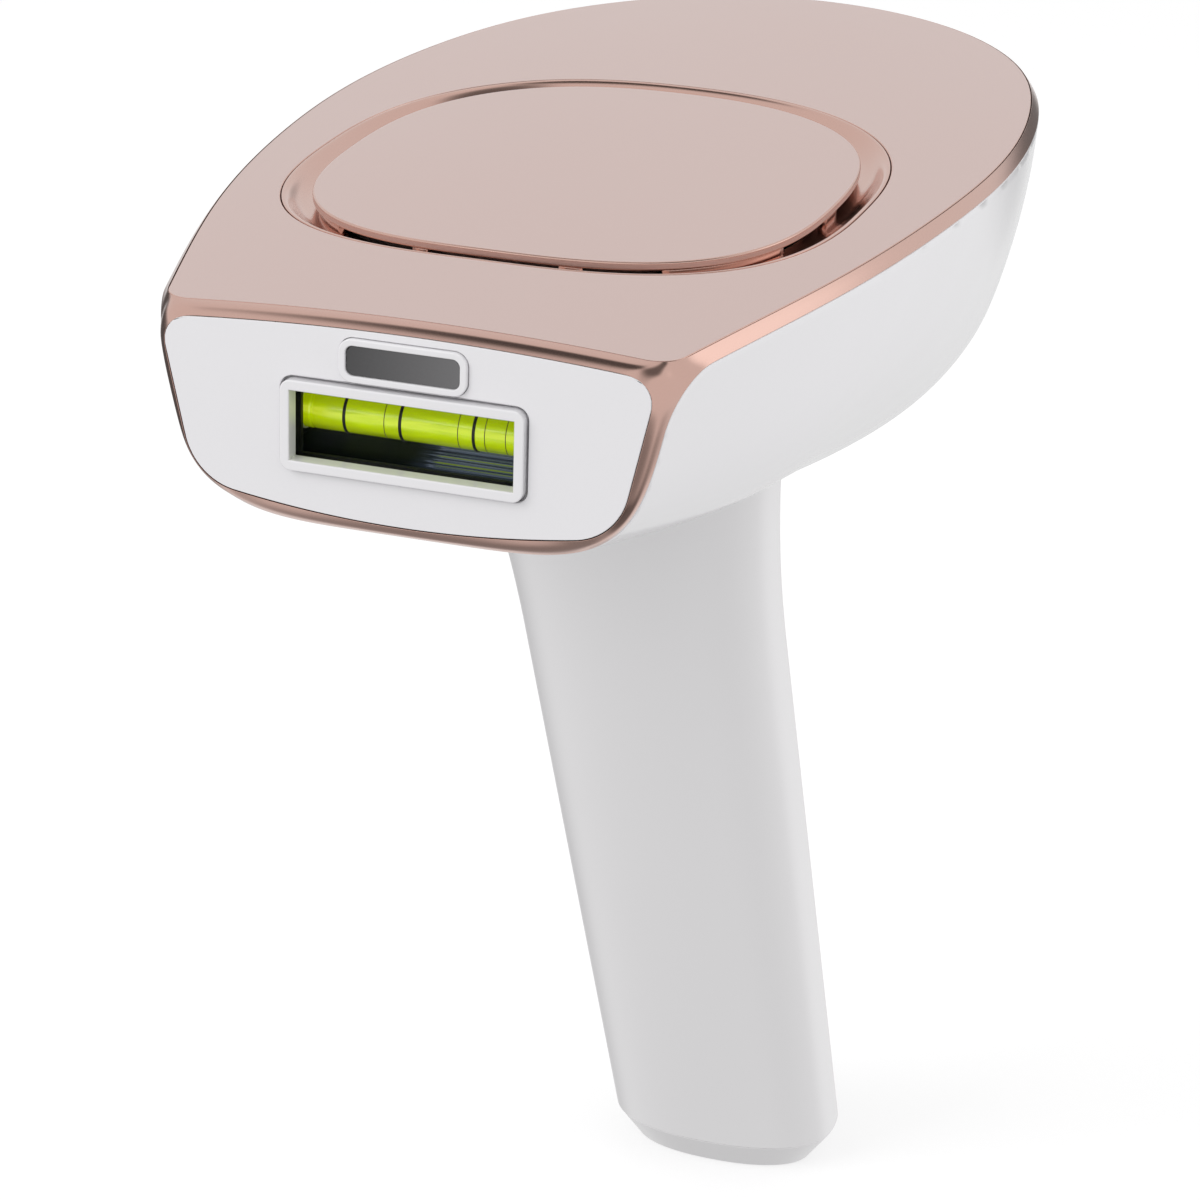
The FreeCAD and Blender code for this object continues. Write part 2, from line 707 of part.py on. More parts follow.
def make_lamp_housing():
    """Box round the reflector, open in front, with an air inlet behind."""
    depth = LAMP_HOUSING_BACK_Y - LAMP_HOUSING_FRONT_Y
    middle_y = (LAMP_HOUSING_FRONT_Y + LAMP_HOUSING_BACK_Y) / 2
    outer = box(44.0, depth, 16.0, (0, middle_y, WINDOW_Z))
    inner = box(40.8, depth, 13.0, (0, middle_y - 1.5, WINDOW_Z - 0.1))
    inlet = box(28.0, 6.0, 9.0, (0, LAMP_HOUSING_BACK_Y, WINDOW_Z))
    return outer.cut(inner).cut(inlet)


def make_contact_springs():
    """Four small springs behind the contact frame's ears, as stacked rings."""
    turns = []
    for x in (-SPRING_X, SPRING_X):
        for rise in (-2.3, 2.3):
            for turn in range(SPRING_TURNS):
                y = LAMP_HOUSING_FRONT_Y - 0.1 - turn * SPRING_PITCH
                z = WINDOW_Z + rise
                turns.append(tube(1.3, 0.9, (x, y, z), (x, y - SPRING_WIRE, z)))
    return group(turns)


def make_contact_switches():
    """Two switches that close when the frame is pressed in."""
    pressed_y = FACE_Y + FLANGE_BACK + CONTACT_TRAVEL
    switches = []
    for x in (-SWITCH_X, SWITCH_X):
        body = box(3.6, 4.6, 5.6, (x, -146.6, WINDOW_Z))
        tip = cylinder(0.9, (x, pressed_y + SWITCH_SLACK, WINDOW_Z), (x, -148.8, WINDOW_Z))
        switches.append(fuse([body, tip]))
    return group(switches)


# ---------------------------------------------------------------- inside the head

def fan_posts():
    """Places of the four posts that carry the fan."""
    return [(x, FAN_Y + y) for x in (-FAN_POST_X, FAN_POST_X) for y in (FAN_POST_Y, -FAN_POST_Y)]


def make_head_chassis():
    """Ribbed plate across the head that carries board, fan and lamp housing."""
    plate = box(62.0, 90.0, 1.6, (0, -73.0, CHASSIS_Z))
    plate = plate.cut(box(24.0, 26.0, 4.0, (0, -52.0, CHASSIS_Z)))
    posts = [cylinder(2.4, (x, y, CHASSIS_Z), (x, y, FAN_FLOOR_Z)) for x, y in fan_posts()]
    cradle = box(44.0, 3.0, 5.0, (0, -136.0, CHASSIS_Z + 2.1))
    tongue = box(30.0, 21.0, 1.6, (0, -127.0, CHASSIS_Z))
    return fuse([plate, cradle, tongue] + posts)


def make_main_board():
    """Control board under the fan."""
    board = box(50.0, 84.0, 1.6, (0, -84.0, BOARD_Z))
    for x, y in fan_posts():
        board = board.cut(cylinder(2.9, (x, y, 160), (x, y, 175)))
    legs = [cylinder(1.6, (x, y, CHASSIS_Z + 0.8), (x, y, BOARD_Z - 0.8))
            for x in (-22.0, 22.0) for y in (-122.0, -46.0)]
    return fuse([board] + legs)


def make_board_chips():
    """Packages soldered on the control board."""
    top = BOARD_Z + 0.8
    chips = [box(9.0, 9.0, 1.2, (-12.0, -100.0, top + 0.6)), box(6.0, 8.0, 1.2, (10.0, -72.0, top + 0.6)),
             box(8.0, 5.0, 1.2, (14.0, -118.0, top + 0.6)), box(5.0, 5.0, 1.2, (-16.0, -66.0, top + 0.6))]
    return group(chips)


def make_charging_transformer():
    """Wound transformer that charges the flash capacitor."""
    core = box(20.0, 13.0, 12.0, (0, -48.0, BOARD_Z + 0.8 + 6.0))
    winding = rounded_box(13.0, 16.0, 8.0, (0, -48.5, BOARD_Z + 0.8 + 6.0), 2.0, X_AXIS)
    return fuse([core, winding])


def make_trigger_coil():
    """Ignition coil for the flash lamp, beside the lamp housing."""
    return cylinder(4.0, (24.0, -133.0, 173.1), (24.0, -119.0, 173.1))


def make_fan_housing():
    """Flat blower housing, open above and towards the lamp."""
    centre_z = (FAN_FLOOR_Z + FAN_TOP_Z) / 2
    outer = rounded_box(52.0, 52.0, FAN_TOP_Z - FAN_FLOOR_Z, (0, FAN_Y, centre_z), 8.0, Z_AXIS)
    for x, y in fan_posts():
        lug = cylinder(3.4, (x, y, FAN_FLOOR_Z), (x, y, FAN_FLOOR_Z + 2.0))
        bridge_y = y - math.copysign(2.5, y - FAN_Y)
        bridge = box(8.0, 6.0, 2.0, (x * 0.86, bridge_y, FAN_FLOOR_Z + 1.0))
        outer = outer.multiFuse([lug, bridge])
    chamber = cylinder(23.0, (0, FAN_Y, FAN_FLOOR_Z + 1.5), (0, FAN_Y, FAN_TOP_Z - 1.5))
    intake = cylinder(17.0, (0, FAN_Y, FAN_TOP_Z - 2), (0, FAN_Y, FAN_TOP_Z + 1))
    outlet = box(30.0, 30.0, 10.0, (0, FAN_Y - 20.0, centre_z))
    housing = outer.cut(chamber).cut(intake).cut(outlet)
    shaft = cylinder(FAN_SHAFT_R, (0, FAN_Y, FAN_FLOOR_Z + 1), (0, FAN_Y, FAN_TOP_Z - 3.0))
    return housing.fuse(shaft)


def make_fan_rotor():
    """Blower wheel that turns on the housing's shaft."""
    z_low = FAN_FLOOR_Z + 2.5
    z_high = FAN_TOP_Z - 3.5
    hub = cylinder(8.0, (0, FAN_Y, z_low), (0, FAN_Y, z_high))
    disc = cylinder(20.0, (0, FAN_Y, z_low), (0, FAN_Y, z_low + 1.0))
    blades = []
    for step in range(FAN_BLADES):
        blade = box(13.0, 0.9, z_high - z_low, (13.3, 0, (z_low + z_high) / 2))
        blade.rotate(V(13.3, 0, 0), Z_AXIS, 28.0)
        blade.rotate(V(0, 0, 0), Z_AXIS, 360.0 * step / FAN_BLADES)
        blade.translate(V(0, FAN_Y, 0))
        blades.append(blade)
    wheel = fuse([hub, disc] + blades)
    return wheel.cut(cylinder(FAN_SHAFT_R + 0.06, (0, FAN_Y, z_low - 1), (0, FAN_Y, z_high + 1)))


def make_air_duct():
    """Duct from the fan's outlet to the lamp housing."""
    front_y = LAMP_HOUSING_BACK_Y + 0.1
    back_y = FAN_Y - 26.1
    middle_y = (front_y + back_y) / 2
    outer = box(33.0, back_y - front_y, 12.0, (0, middle_y, 177.5))
    return outer.cut(box(30.0, 60.0, 9.0, (0, middle_y, 177.5)))


def make_fan_screws():
    """Four screws through the fan's lugs into the chassis posts."""
    screws = []
    head_z = FAN_FLOOR_Z + 2.0
    for x, y in fan_posts():
        head = cylinder(2.4, (x, y, head_z), (x, y, head_z + 1.6))
        screws.append(head.cut(cross_recess(x, y, head_z + 1.6)))
    return group(screws)


def cross_recess(x, y, top_z):
    """Cross-shaped driver recess, 0.8 mm deep."""
    arm = 2.4
    return box(arm, 0.5, 1.6, (x, y, top_z)).fuse(box(0.5, arm, 1.6, (x, y, top_z)))


# ---------------------------------------------------------------- controls

def make_level_button():
    """Round button that steps the energy level."""
    cap = cylinder(LEVEL_R, (0, 0, BUTTON_ROOT), (0, 0, LEVEL_TOP))
    cap = cap.makeFillet(0.5, [e for e in cap.Edges if e.BoundBox.ZMin > LEVEL_TOP - 0.1])
    return place(cap, LEVEL_TILT, LEVEL_ORIGIN)


def make_level_switch():
    """Switch under the level button."""
    body = box(6.0, 6.0, 2.6, (0, 0, -5.7))
    tip = cylinder(1.5, (0, 0, -4.5), (0, 0, BUTTON_ROOT - LEVEL_TRAVEL - 0.3))
    return place(fuse([body, tip]), LEVEL_TILT, LEVEL_ORIGIN)


def make_indicator_lights():
    """Five light guides that show the energy level."""
    guides = []
    for x in light_places():
        guide = cylinder(LIGHT_R, (x, LIGHT_UP, -4.0), (x, LIGHT_UP, 0.2))
        guides.append(place(guide, LEVEL_TILT, LEVEL_ORIGIN))
    return group(guides)


def make_indicator_board():
    """Board behind the level button and the lights."""
    board = box(28.0, 20.0, 1.2, (0, -6.5, -7.6))
    lamps = [box(2.0, 1.6, 0.9, (x, LIGHT_UP, -6.6)) for x in light_places()]
    return place(fuse([board] + lamps), LEVEL_TILT, LEVEL_ORIGIN)


def make_pulse_button():
    """Oval thumb button that fires the flash."""
    cap = oval(PULSE_W, PULSE_L, BUTTON_ROOT, PULSE_TOP)
    cap = cap.makeFillet(0.6, [e for e in cap.Edges if e.BoundBox.ZMin > PULSE_TOP - 0.1])
    return place(cap, PULSE_TILT, PULSE_ORIGIN)


def make_pulse_bezel():
    """Trim ring round the pulse button."""
    ring = oval(PULSE_W + 3.2, PULSE_L + 3.2, -2.4, 0.5).cut(oval(PULSE_W + 0.6, PULSE_L + 0.6, -4.0, 2.0))
    return place(ring, PULSE_TILT, PULSE_ORIGIN)


def make_pulse_switch():
    """Switch under the pulse button, on its own small board."""
    board = box(11.0, 24.0, 1.0, (0, 0, -8.6))
    body = box(6.0, 6.0, 3.4, (0, 0, -6.4))
    tip = cylinder(1.5, (0, 0, -4.8), (0, 0, BUTTON_ROOT - PULSE_TRAVEL - 0.3))
    return place(fuse([board, body, tip]), PULSE_TILT, PULSE_ORIGIN)


# ---------------------------------------------------------------- grip

def make_grip_sleeve():
    """Hollow white grip that flares into the hull."""
    sleeve = grip_form(0.0, CAP_Z + 0.1, 166.0)
    sleeve = sleeve.cut(outer_hull())
    sleeve = sleeve.cut(grip_form(GRIP_WALL, CAP_Z - 1.0, 168.0))
    opening = place(oval(PULSE_W + 3.4, PULSE_L + 3.4, -8.0, 8.0), PULSE_TILT, PULSE_ORIGIN)
    return sleeve.cut(opening)


def make_end_cap():
    """Sloped-edge cap that closes the grip, with the power inlet's recess."""
    top_ring = grip_section(CAP_Z, 0.0)
    low_ring = grip_section(CAP_Z, CAP_INSET)
    low_ring.translate(V(0, 0, -CAP_Z))
    cap = Part.makeLoft([low_ring, top_ring], True, True)
    spigot = grip_form(GRIP_WALL + 0.1, CAP_Z - 0.5, 11.0).cut(
        grip_form(GRIP_WALL + 1.6, CAP_Z - 1.5, 12.0))
    cap = cap.fuse(spigot)
    cap = cap.cut(cylinder(INLET_R, (0, INLET_Y, -1), (0, INLET_Y, INLET_DEPTH)))
    cap = cap.cut(cylinder(JACK_BODY_R + 0.05, (0, INLET_Y, 0), (0, INLET_Y, 12)))
    for x in (-CAP_SCREW_X, CAP_SCREW_X):
        cap = cap.cut(cylinder(SCREW_RECESS_R, (x, 0, -1), (x, 0, SCREW_RECESS_DEPTH)))
    return cap


def make_cap_screws():
    """Two cross-head screws sunk in the end cap."""
    screws = []
    for x in (-CAP_SCREW_X, CAP_SCREW_X):
        head = cylinder(CAP_SCREW_R, (x, 0, 0.5), (x, 0, SCREW_RECESS_DEPTH))
        slot = box(2.6, 0.6, 1.4, (x, 0, 0.5)).fuse(box(0.6, 2.6, 1.4, (x, 0, 0.5)))
        screws.append(head.cut(slot))
    return group(screws)


def make_power_jack():
    """Barrel socket for the power supply's plug."""
    body = cylinder(JACK_BODY_R, (0, INLET_Y, INLET_DEPTH), (0, INLET_Y, JACK_TOP_Z))
    return body.cut(cylinder(JACK_HOLE_R, (0, INLET_Y, INLET_DEPTH - 1), (0, INLET_Y, JACK_HOLE_TOP_Z)))


def make_jack_pin():
    """Centre contact of the power socket."""
    pin = cylinder(JACK_PIN_R, (0, INLET_Y, INLET_DEPTH + 1.0), (0, INLET_Y, JACK_HOLE_TOP_Z))
    return pin.makeFillet(0.4, [e for e in pin.Edges if e.BoundBox.ZMax < INLET_DEPTH + 1.1])


def make_flash_capacitor():
    """Large capacitor that stores the flash energy, in the grip."""
    low = lean_point(34.0, 4.0)
    high = lean_point(80.0, 4.0)
    can = Part.makeCylinder(CAPACITOR_R, (high - low).Length, low, high - low)
    return can.makeFillet(1.2, can.Edges[:1] + can.Edges[2:3])


def make_grip_frame():
    """Stiffening strip down the front inside of the grip."""
    low = lean_point(18.0, -7.2)
    high = lean_point(126.0, -7.2)
    length = (high - low).Length
    strip = box(15.0, 1.5, length, (0, 0, length / 2))
    for share in (0.05, 0.64):
        band_z = length * share
        strip = strip.fuse(box(15.0, 3.0, 1.5, (0, 1.0, band_z)))
    strip.rotate(V(0, 0, 0), X_AXIS, math.degrees(math.atan(GRIP_LEAN)))
    strip.translate(low)
    return strip


NODES = {
    "top_plate": make_top_plate,
    "trim_frame": make_trim_frame,
    "head_shell": make_head_shell,
    "vent_ring": make_vent_ring,
    "vent_panel": make_vent_panel,
    "air_filter": make_air_filter,
    "front_plate": make_front_plate,
    "sensor_bezel": make_sensor_bezel,
    "sensor_lens": make_sensor_lens,
    "sensor_board": make_sensor_board,
    "contact_frame": make_contact_frame,
    "window_pane": make_window_pane,
    "pane_holder": make_pane_holder,
    "filter_tube": make_filter_tube,
    "flash_lamp": make_flash_lamp,
    "lamp_electrodes": make_lamp_electrodes,
    "lamp_bands": make_lamp_bands,
    "lamp_caps": make_lamp_caps,
    "reflector": make_reflector,
    "lamp_housing": make_lamp_housing,
    "contact_springs": make_contact_springs,
    "contact_switches": make_contact_switches,
    "head_chassis": make_head_chassis,
    "main_board": make_main_board,
    "board_chips": make_board_chips,
    "charging_transformer": make_charging_transformer,
    "trigger_coil": make_trigger_coil,
    "fan_housing": make_fan_housing,
    "fan_rotor": make_fan_rotor,
    "air_duct": make_air_duct,
    "fan_screws": make_fan_screws,
    "level_button": make_level_button,
    "level_switch": make_level_switch,
    "indicator_lights": make_indicator_lights,
    "indicator_board": make_indicator_board,
    "pulse_button": make_pulse_button,
    "pulse_bezel": make_pulse_bezel,
    "pulse_switch": make_pulse_switch,
    "grip_sleeve": make_grip_sleeve,
    "end_cap": make_end_cap,
    "cap_screws": make_cap_screws,
    "power_jack": make_power_jack,
    "jack_pin": make_jack_pin,
    "flash_capacitor": make_flash_capacitor,
    "grip_frame": make_grip_frame,
}

os.makedirs("parts", exist_ok=True)
for node_name, make_node in NODES.items():
    shape = make_node()
    shape.exportStep(os.path.join("parts", node_name + ".step"))
    print(node_name, "solids", len(shape.Solids), "valid", shape.isValid(), "mm3", round(shape.Volume, 1))
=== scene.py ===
import json
import math

import bmesh
import bpy
import numpy as np
from mathutils import Matrix, Vector


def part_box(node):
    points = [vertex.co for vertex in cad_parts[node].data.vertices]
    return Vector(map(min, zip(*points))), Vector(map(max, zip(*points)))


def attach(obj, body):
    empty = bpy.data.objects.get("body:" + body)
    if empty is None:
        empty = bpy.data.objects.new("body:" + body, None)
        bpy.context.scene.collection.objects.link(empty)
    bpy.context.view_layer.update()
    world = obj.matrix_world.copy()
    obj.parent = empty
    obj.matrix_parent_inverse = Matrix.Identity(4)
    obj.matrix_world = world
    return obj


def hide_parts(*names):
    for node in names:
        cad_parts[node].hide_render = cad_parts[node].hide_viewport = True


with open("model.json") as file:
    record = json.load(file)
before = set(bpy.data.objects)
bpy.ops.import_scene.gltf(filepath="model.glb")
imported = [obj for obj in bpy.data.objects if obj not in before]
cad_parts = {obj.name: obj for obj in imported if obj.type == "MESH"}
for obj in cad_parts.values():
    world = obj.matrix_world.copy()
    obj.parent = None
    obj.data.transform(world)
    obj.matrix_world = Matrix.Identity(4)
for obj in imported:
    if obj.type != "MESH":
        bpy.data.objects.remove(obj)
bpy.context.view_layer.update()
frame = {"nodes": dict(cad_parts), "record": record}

# The looks of a gun-shaped light-pulse hair remover. All sizes here are millimetres in the
# row frame (origin on the grip's end, +Z up, the treatment window looks along -Y, symmetric
# about X = 0) and become metres when a mesh is made.

MM = 0.001

# Camera: where the photograph was taken from.
CAMERA_PLACE = (182.2, -611.3, 351.2)
CAMERA_AZIMUTH = 18.76
CAMERA_ELEVATION = 21.61
CAMERA_ROLL = 1.60
CAMERA_LENS = 126.0
CAMERA_SENSOR = 36.0

# Head form, as the CAD has it.
FACE_Y = -152.8
PLATE_FRONT_Y = -150.3
PLAN_POINTS = [(33.9, -150.3), (35.6, -144.0), (43.9, -111.0), (49.0, -76.0),
               (50.1, -53.0), (46.6, -20.0), (39.0, 2.6), (25.1, 19.5), (0.0, 28.2)]
CROWN_ACROSS_R = 417.0
CROWN_ALONG_R = 1389.0
CROWN_Y = -50.3
CROWN_Z = 195.1
BAND_OUT = 1.0
BAND_DROP = 1.7
BAND_LIP = 0.15
HAIRLINE = 0.12
HULL_FRONT_DEPTH = 25.7
HULL_KEEL_DEPTH = 46.5
HULL_KEEL_Y = -41.0
HULL_TIP_Y = 29.2
HULL_DEPTH_CURVE = 1.36
HULL_FRONT_EXPONENT = 5.0
HULL_BODY_EXPONENT = 2.9
HULL_FRONT_LEAN = 0.22
HULL_BODY_LEAN = 0.06
HULL_SHAPE_RUN = 60.0
HULL_WALL = 1.6
HULL_CUT = 6.0
HULL_TIP_GAP = 0.2
WEB_R = 7.5

# White face: its outline's middle and corner points, (x, z), and its thickness.
FACE_TOP_Z = 190.3
FACE_TOP_CORNER = np.array([33.3, 188.8])
FACE_LOW_CORNER = np.array([28.55, 167.6])
FACE_LOW_Z = 164.8
FACE_UPPER_R = 3.4
FACE_LOWER_R = 8.5
FACE_T = 1.2

# Top plate and trim: corner radii, walls, how far the strips swell, length of the corner's turn.
PLATE_CORNER_R = 4.5
PLATE_T = 1.1
TRIM_WALL = 1.2
BEZEL_SWELL = 0.42
BAND_SWELL = 0.06
CORNER_SWELL = 0.55
CORNER_OUT = np.array([0.55, -0.62, 0.56])
BAND_CORNER_RUN = 9.0
LEG_CORNER_RUN = 8.0
CORNER_STEPS = 5
TOP_STEPS = 16
BAND_STEPS = 60
LEG_STEPS = 30

# Grip form.
GRIP_LEAN = 0.462
GRIP_HALF_W = 19.0
GRIP_TOP_HALF_W = 20.4
GRIP_FRONT_HALF_D = 12.1
GRIP_REAR_HALF_D = 17.0
GRIP_EXPONENT = 2.25
GRIP_TAPER_H = 130.0
FLARE_Z = 112.0
FLARE_H = 34.0
FLARE_OUT = 2.2
FLARE_SHARE_DEPTH = 0.6
GRIP_WALL = 2.0
GRIP_COUNT = 96
GRIP_CUT = 8.0
SPIGOT_WALL = 1.5
CAP_Z = 5.45
CAP_INSET = 4.0

# Vent ring and panel.
RING_Y = -84.0
RING_HALF_W = 38.5
RING_HALF_L = 42.6
PANEL_INSET = 3.2
PANEL_T = 1.2
PANEL_BOSS = [(6.5, 1.1), (8.0, 1.1), (8.0, 3.4), (6.5, 3.4), (6.5, 1.1)]
RIB_INSETS = (4.0, 5.0)
RIB_DROPS = (0.9, 2.7)
RING_EXPONENT = 2.6

# Controls: places on the hull's rear underside and the grip's rear.
LEVEL_Y = -11.0
LEVEL_R = 4.9
LEVEL_TOP = 1.0
LEVEL_HOLE_R = 5.3
LIGHT_COUNT = 5
LIGHT_PITCH = 5.5
LIGHT_UP = -14.0
LIGHT_R = 1.2
LIGHT_HOLE_R = 1.25
PULSE_Z = 112.0
PULSE_W = 12.0
PULSE_L = 20.0
PULSE_TOP = 1.2
PULSE_RING_OUT = 3.2
PULSE_RING_IN = 0.6
PULSE_RING_LOW = -2.4
PULSE_RING_TOP = 0.5
PULSE_OPENING = 3.4
BUTTON_ROOT = -3.0
LIGHT_ROOT = -4.0
LIGHT_TOP = 0.2

# Power inlet and screws in the end cap.
INLET_R = 4.6
INLET_Y = 6.3
INLET_DEPTH = 4.0
JACK_HOLE_R = 4.35
CAP_SCREW_X = 10.4
SCREW_RECESS_R = 2.4
SCREW_RECESS_DEPTH = 1.8

# Lamp: axis, filter sleeve, its printed bands and the fine lines between them.
LAMP_Y = -144.4
LAMP_Z = 176.35
SLEEVE_R = 2.75
SLEEVE_BORE_R = 2.1
SLEEVE_HALF_L = 16.2
SLEEVE_EDGE = 0.15
SLEEVE_GROOVE = 0.18
LAMP_BANDS_X = (-10.3, -2.7, 7.2)
FINE_LINES_X = (-4.85, 5.1, 8.7, 11.5)
BAND_HALF_W = 0.2
BAND_RISE = 0.12
LINE_HALF_W = 0.05
LINE_RISE = 0.02

# Treatment window and skin sensor.
WINDOW_Z = 176.8
WINDOW_W = 30.0
WINDOW_H = 9.24
NOSE_W = 32.6
NOSE_H = 12.0
NOSE_CLEARANCE = 0.3
SENSOR_GAP = 0.1
FLANGE_T = 0.9
FLANGE_HALF_W = 18.5
FLANGE_HALF_H = 7.5
FLANGE_HOLE_W = 32.0
FLANGE_HOLE_H = 10.8
EAR_REACH = 27.0
EAR_HALF_H = 4.0
SENSOR_Z = 186.25
SENSOR_RIM_W = 17.1
SENSOR_RIM_H = 5.7
SENSOR_WINDOW_W = 15.1
SENSOR_WINDOW_H = 3.8


# ---------------------------------------------------------------- camera, light, floor

def make_camera():
    """Camera at the photograph's place and angle."""
    data = bpy.data.cameras.new("camera")
    data.lens = CAMERA_LENS
    data.sensor_width = CAMERA_SENSOR
    data.clip_start = 0.01
    data.clip_end = 50.0
    camera = bpy.data.objects.new("camera", data)
    turn = Matrix.Rotation(math.radians(CAMERA_AZIMUTH), 4, "Z")
    turn = turn @ Matrix.Rotation(math.radians(90.0 - CAMERA_ELEVATION), 4, "X")
    turn = turn @ Matrix.Rotation(math.radians(CAMERA_ROLL), 4, "Z")
    camera.matrix_world = Matrix.Translation(Vector(CAMERA_PLACE) * MM) @ turn
    bpy.context.collection.objects.link(camera)
    bpy.context.scene.camera = camera


def direction(azimuth, elevation):
    """Unit vector: azimuth 0 is -Y (the window's side), 90 is +X, elevation is above the floor."""
    a = math.radians(azimuth)
    e = math.radians(elevation)
    return Vector((math.sin(a) * math.cos(e), -math.cos(a) * math.cos(e), math.sin(e)))


def make_area_light(name, azimuth, elevation, distance, size, watts):
    """Square soft light that looks at the middle of the head."""
    data = bpy.data.lights.new(name, "AREA")
    data.size = size
    data.energy = watts
    light = bpy.data.objects.new(name, data)
    light.visible_glossy = False
    target = Vector((0.0, -0.06, 0.12))
    place = target + direction(azimuth, elevation) * distance
    look = (place - target).to_track_quat("Z", "Y").to_matrix().to_4x4()
    light.matrix_world = Matrix.Translation(place) @ look
    bpy.context.collection.objects.link(light)


def set_inputs(tree, node, inputs):
    """Sets a node's inputs, by name or number, to a value or a link from another node's socket."""
    for key, value in inputs.items():
        if isinstance(value, bpy.types.NodeSocket):
            tree.links.new(value, node.inputs[key])
        else:
            node.inputs[key].default_value = value


def add_node(tree, kind, inputs, **settings):
    """New shader node with its inputs and settings."""
    node = tree.nodes.new("ShaderNode" + kind)
    for name, value in settings.items():
        setattr(node, name, value)
    set_inputs(tree, node, inputs)
    return node


def multiply(tree, a, b, plus=0.0):
    """Socket that gives a times b, plus a third value."""
    return add_node(tree, "Math", {0: a, 1: b, 2: plus}, operation="MULTIPLY_ADD").outputs[0]


def map_range(tree, value, low, high, to_low, to_high, kind="LINEAR"):
    """Socket that carries a value from one range to another, and stays inside it."""
    ranges = {"Value": value, "From Min": low, "From Max": high, "To Min": to_low, "To Max": to_high}
    return add_node(tree, "MapRange", ranges, interpolation_type=kind).outputs["Result"]


# Patches of the studio seen only in reflections, darker or brighter than the rest:
# (azimuth, elevation, half angle where it is full, half angle where it ends, brightness there)
STUDIO_FLAGS = [(-118.0, 78.0, 9.0, 20.0, 0.1),
                (84.0, 60.0, 11.0, 29.0, 0.2),
                (-21.0, 20.0, 1.5, 5.0, 2.6),
                (128.0, 22.0, 4.0, 17.0, 1.65),
                (172.0, -4.0, 5.0, 17.0, 0.2),
                (115.0, -55.0, 8.0, 30.0, 0.2),
                (62.0, -50.0, 8.0, 28.0, 0.2),
                (-122.0, -20.0, 10.0, 30.0, 0.12),
                (-139.0, -74.0, 8.0, 26.0, 0.35)]
STUDIO_WHITE = 1.0
STUDIO_BELOW = 0.78
HORIZON = (-0.35, 0.1)


def make_world():
    """White studio: soft light is dimmer from below, and reflections also see the patches."""
    world = bpy.data.worlds.new("studio")
    world.use_nodes = True
    bpy.context.scene.world = world
    tree = world.node_tree
    tree.nodes.clear()
    way = add_node(tree, "TexCoord", {}).outputs["Generated"]
    mirrored = STUDIO_WHITE
    for azimuth, elevation, full, end, value in STUDIO_FLAGS:
        facing = add_node(tree, "VectorMath", {0: way, 1: direction(azimuth, elevation)},
                          operation="DOT_PRODUCT")
        low, high = math.cos(math.radians(end)), math.cos(math.radians(full))
        patch = map_range(tree, facing.outputs["Value"], low, high, 1.0, value, "SMOOTHSTEP")
        mirrored = multiply(tree, mirrored, patch)
    height = add_node(tree, "SeparateXYZ", {"Vector": way}).outputs["Z"]
    diffuse = map_range(tree, height, *HORIZON, STUDIO_BELOW, STUDIO_WHITE, "SMOOTHSTEP")
    ray = add_node(tree, "LightPath", {}).outputs
    soft = add_node(tree, "Mix", {0: ray["Is Diffuse Ray"], 2: STUDIO_WHITE, 3: diffuse}, data_type="FLOAT")
    seen = add_node(tree, "Mix", {0: ray["Is Glossy Ray"], 2: soft.outputs[0], 3: mirrored},
                    data_type="FLOAT")
    back = add_node(tree, "Background", {"Strength": seen.outputs[0]})
    add_node(tree, "OutputWorld", {"Surface": back.outputs["Background"]})


FLOOR_HALF = 6.0
FLOOR_DROP = 0.00005


def make_floor():
    """Large pale floor that glows a little, like a light table."""
    mesh = bpy.data.meshes.new("floor")
    corners = [(x * FLOOR_HALF, y * FLOOR_HALF, -FLOOR_DROP) for x, y in ((-1, -1), (1, -1), (1, 1), (-1, 1))]
    mesh.from_pydata(corners, [], [(0, 1, 2, 3)])
    floor = bpy.data.objects.new("floor", mesh)
    bpy.context.collection.objects.link(floor)
    material = bpy.data.materials.new("floor")
    material.use_nodes = True
    set_inputs(material.node_tree, material.node_tree.nodes["Principled BSDF"],
               {"Base Color": (0.62, 0.62, 0.62, 1), "Roughness": 0.9, "Specular IOR Level": 0.1,
                "Emission Color": (1, 1, 1, 1), "Emission Strength": 0.45})
    mesh.materials.append(material)
    floor.visible_glossy = False
    floor.visible_diffuse = False


# ---------------------------------------------------------------- curves

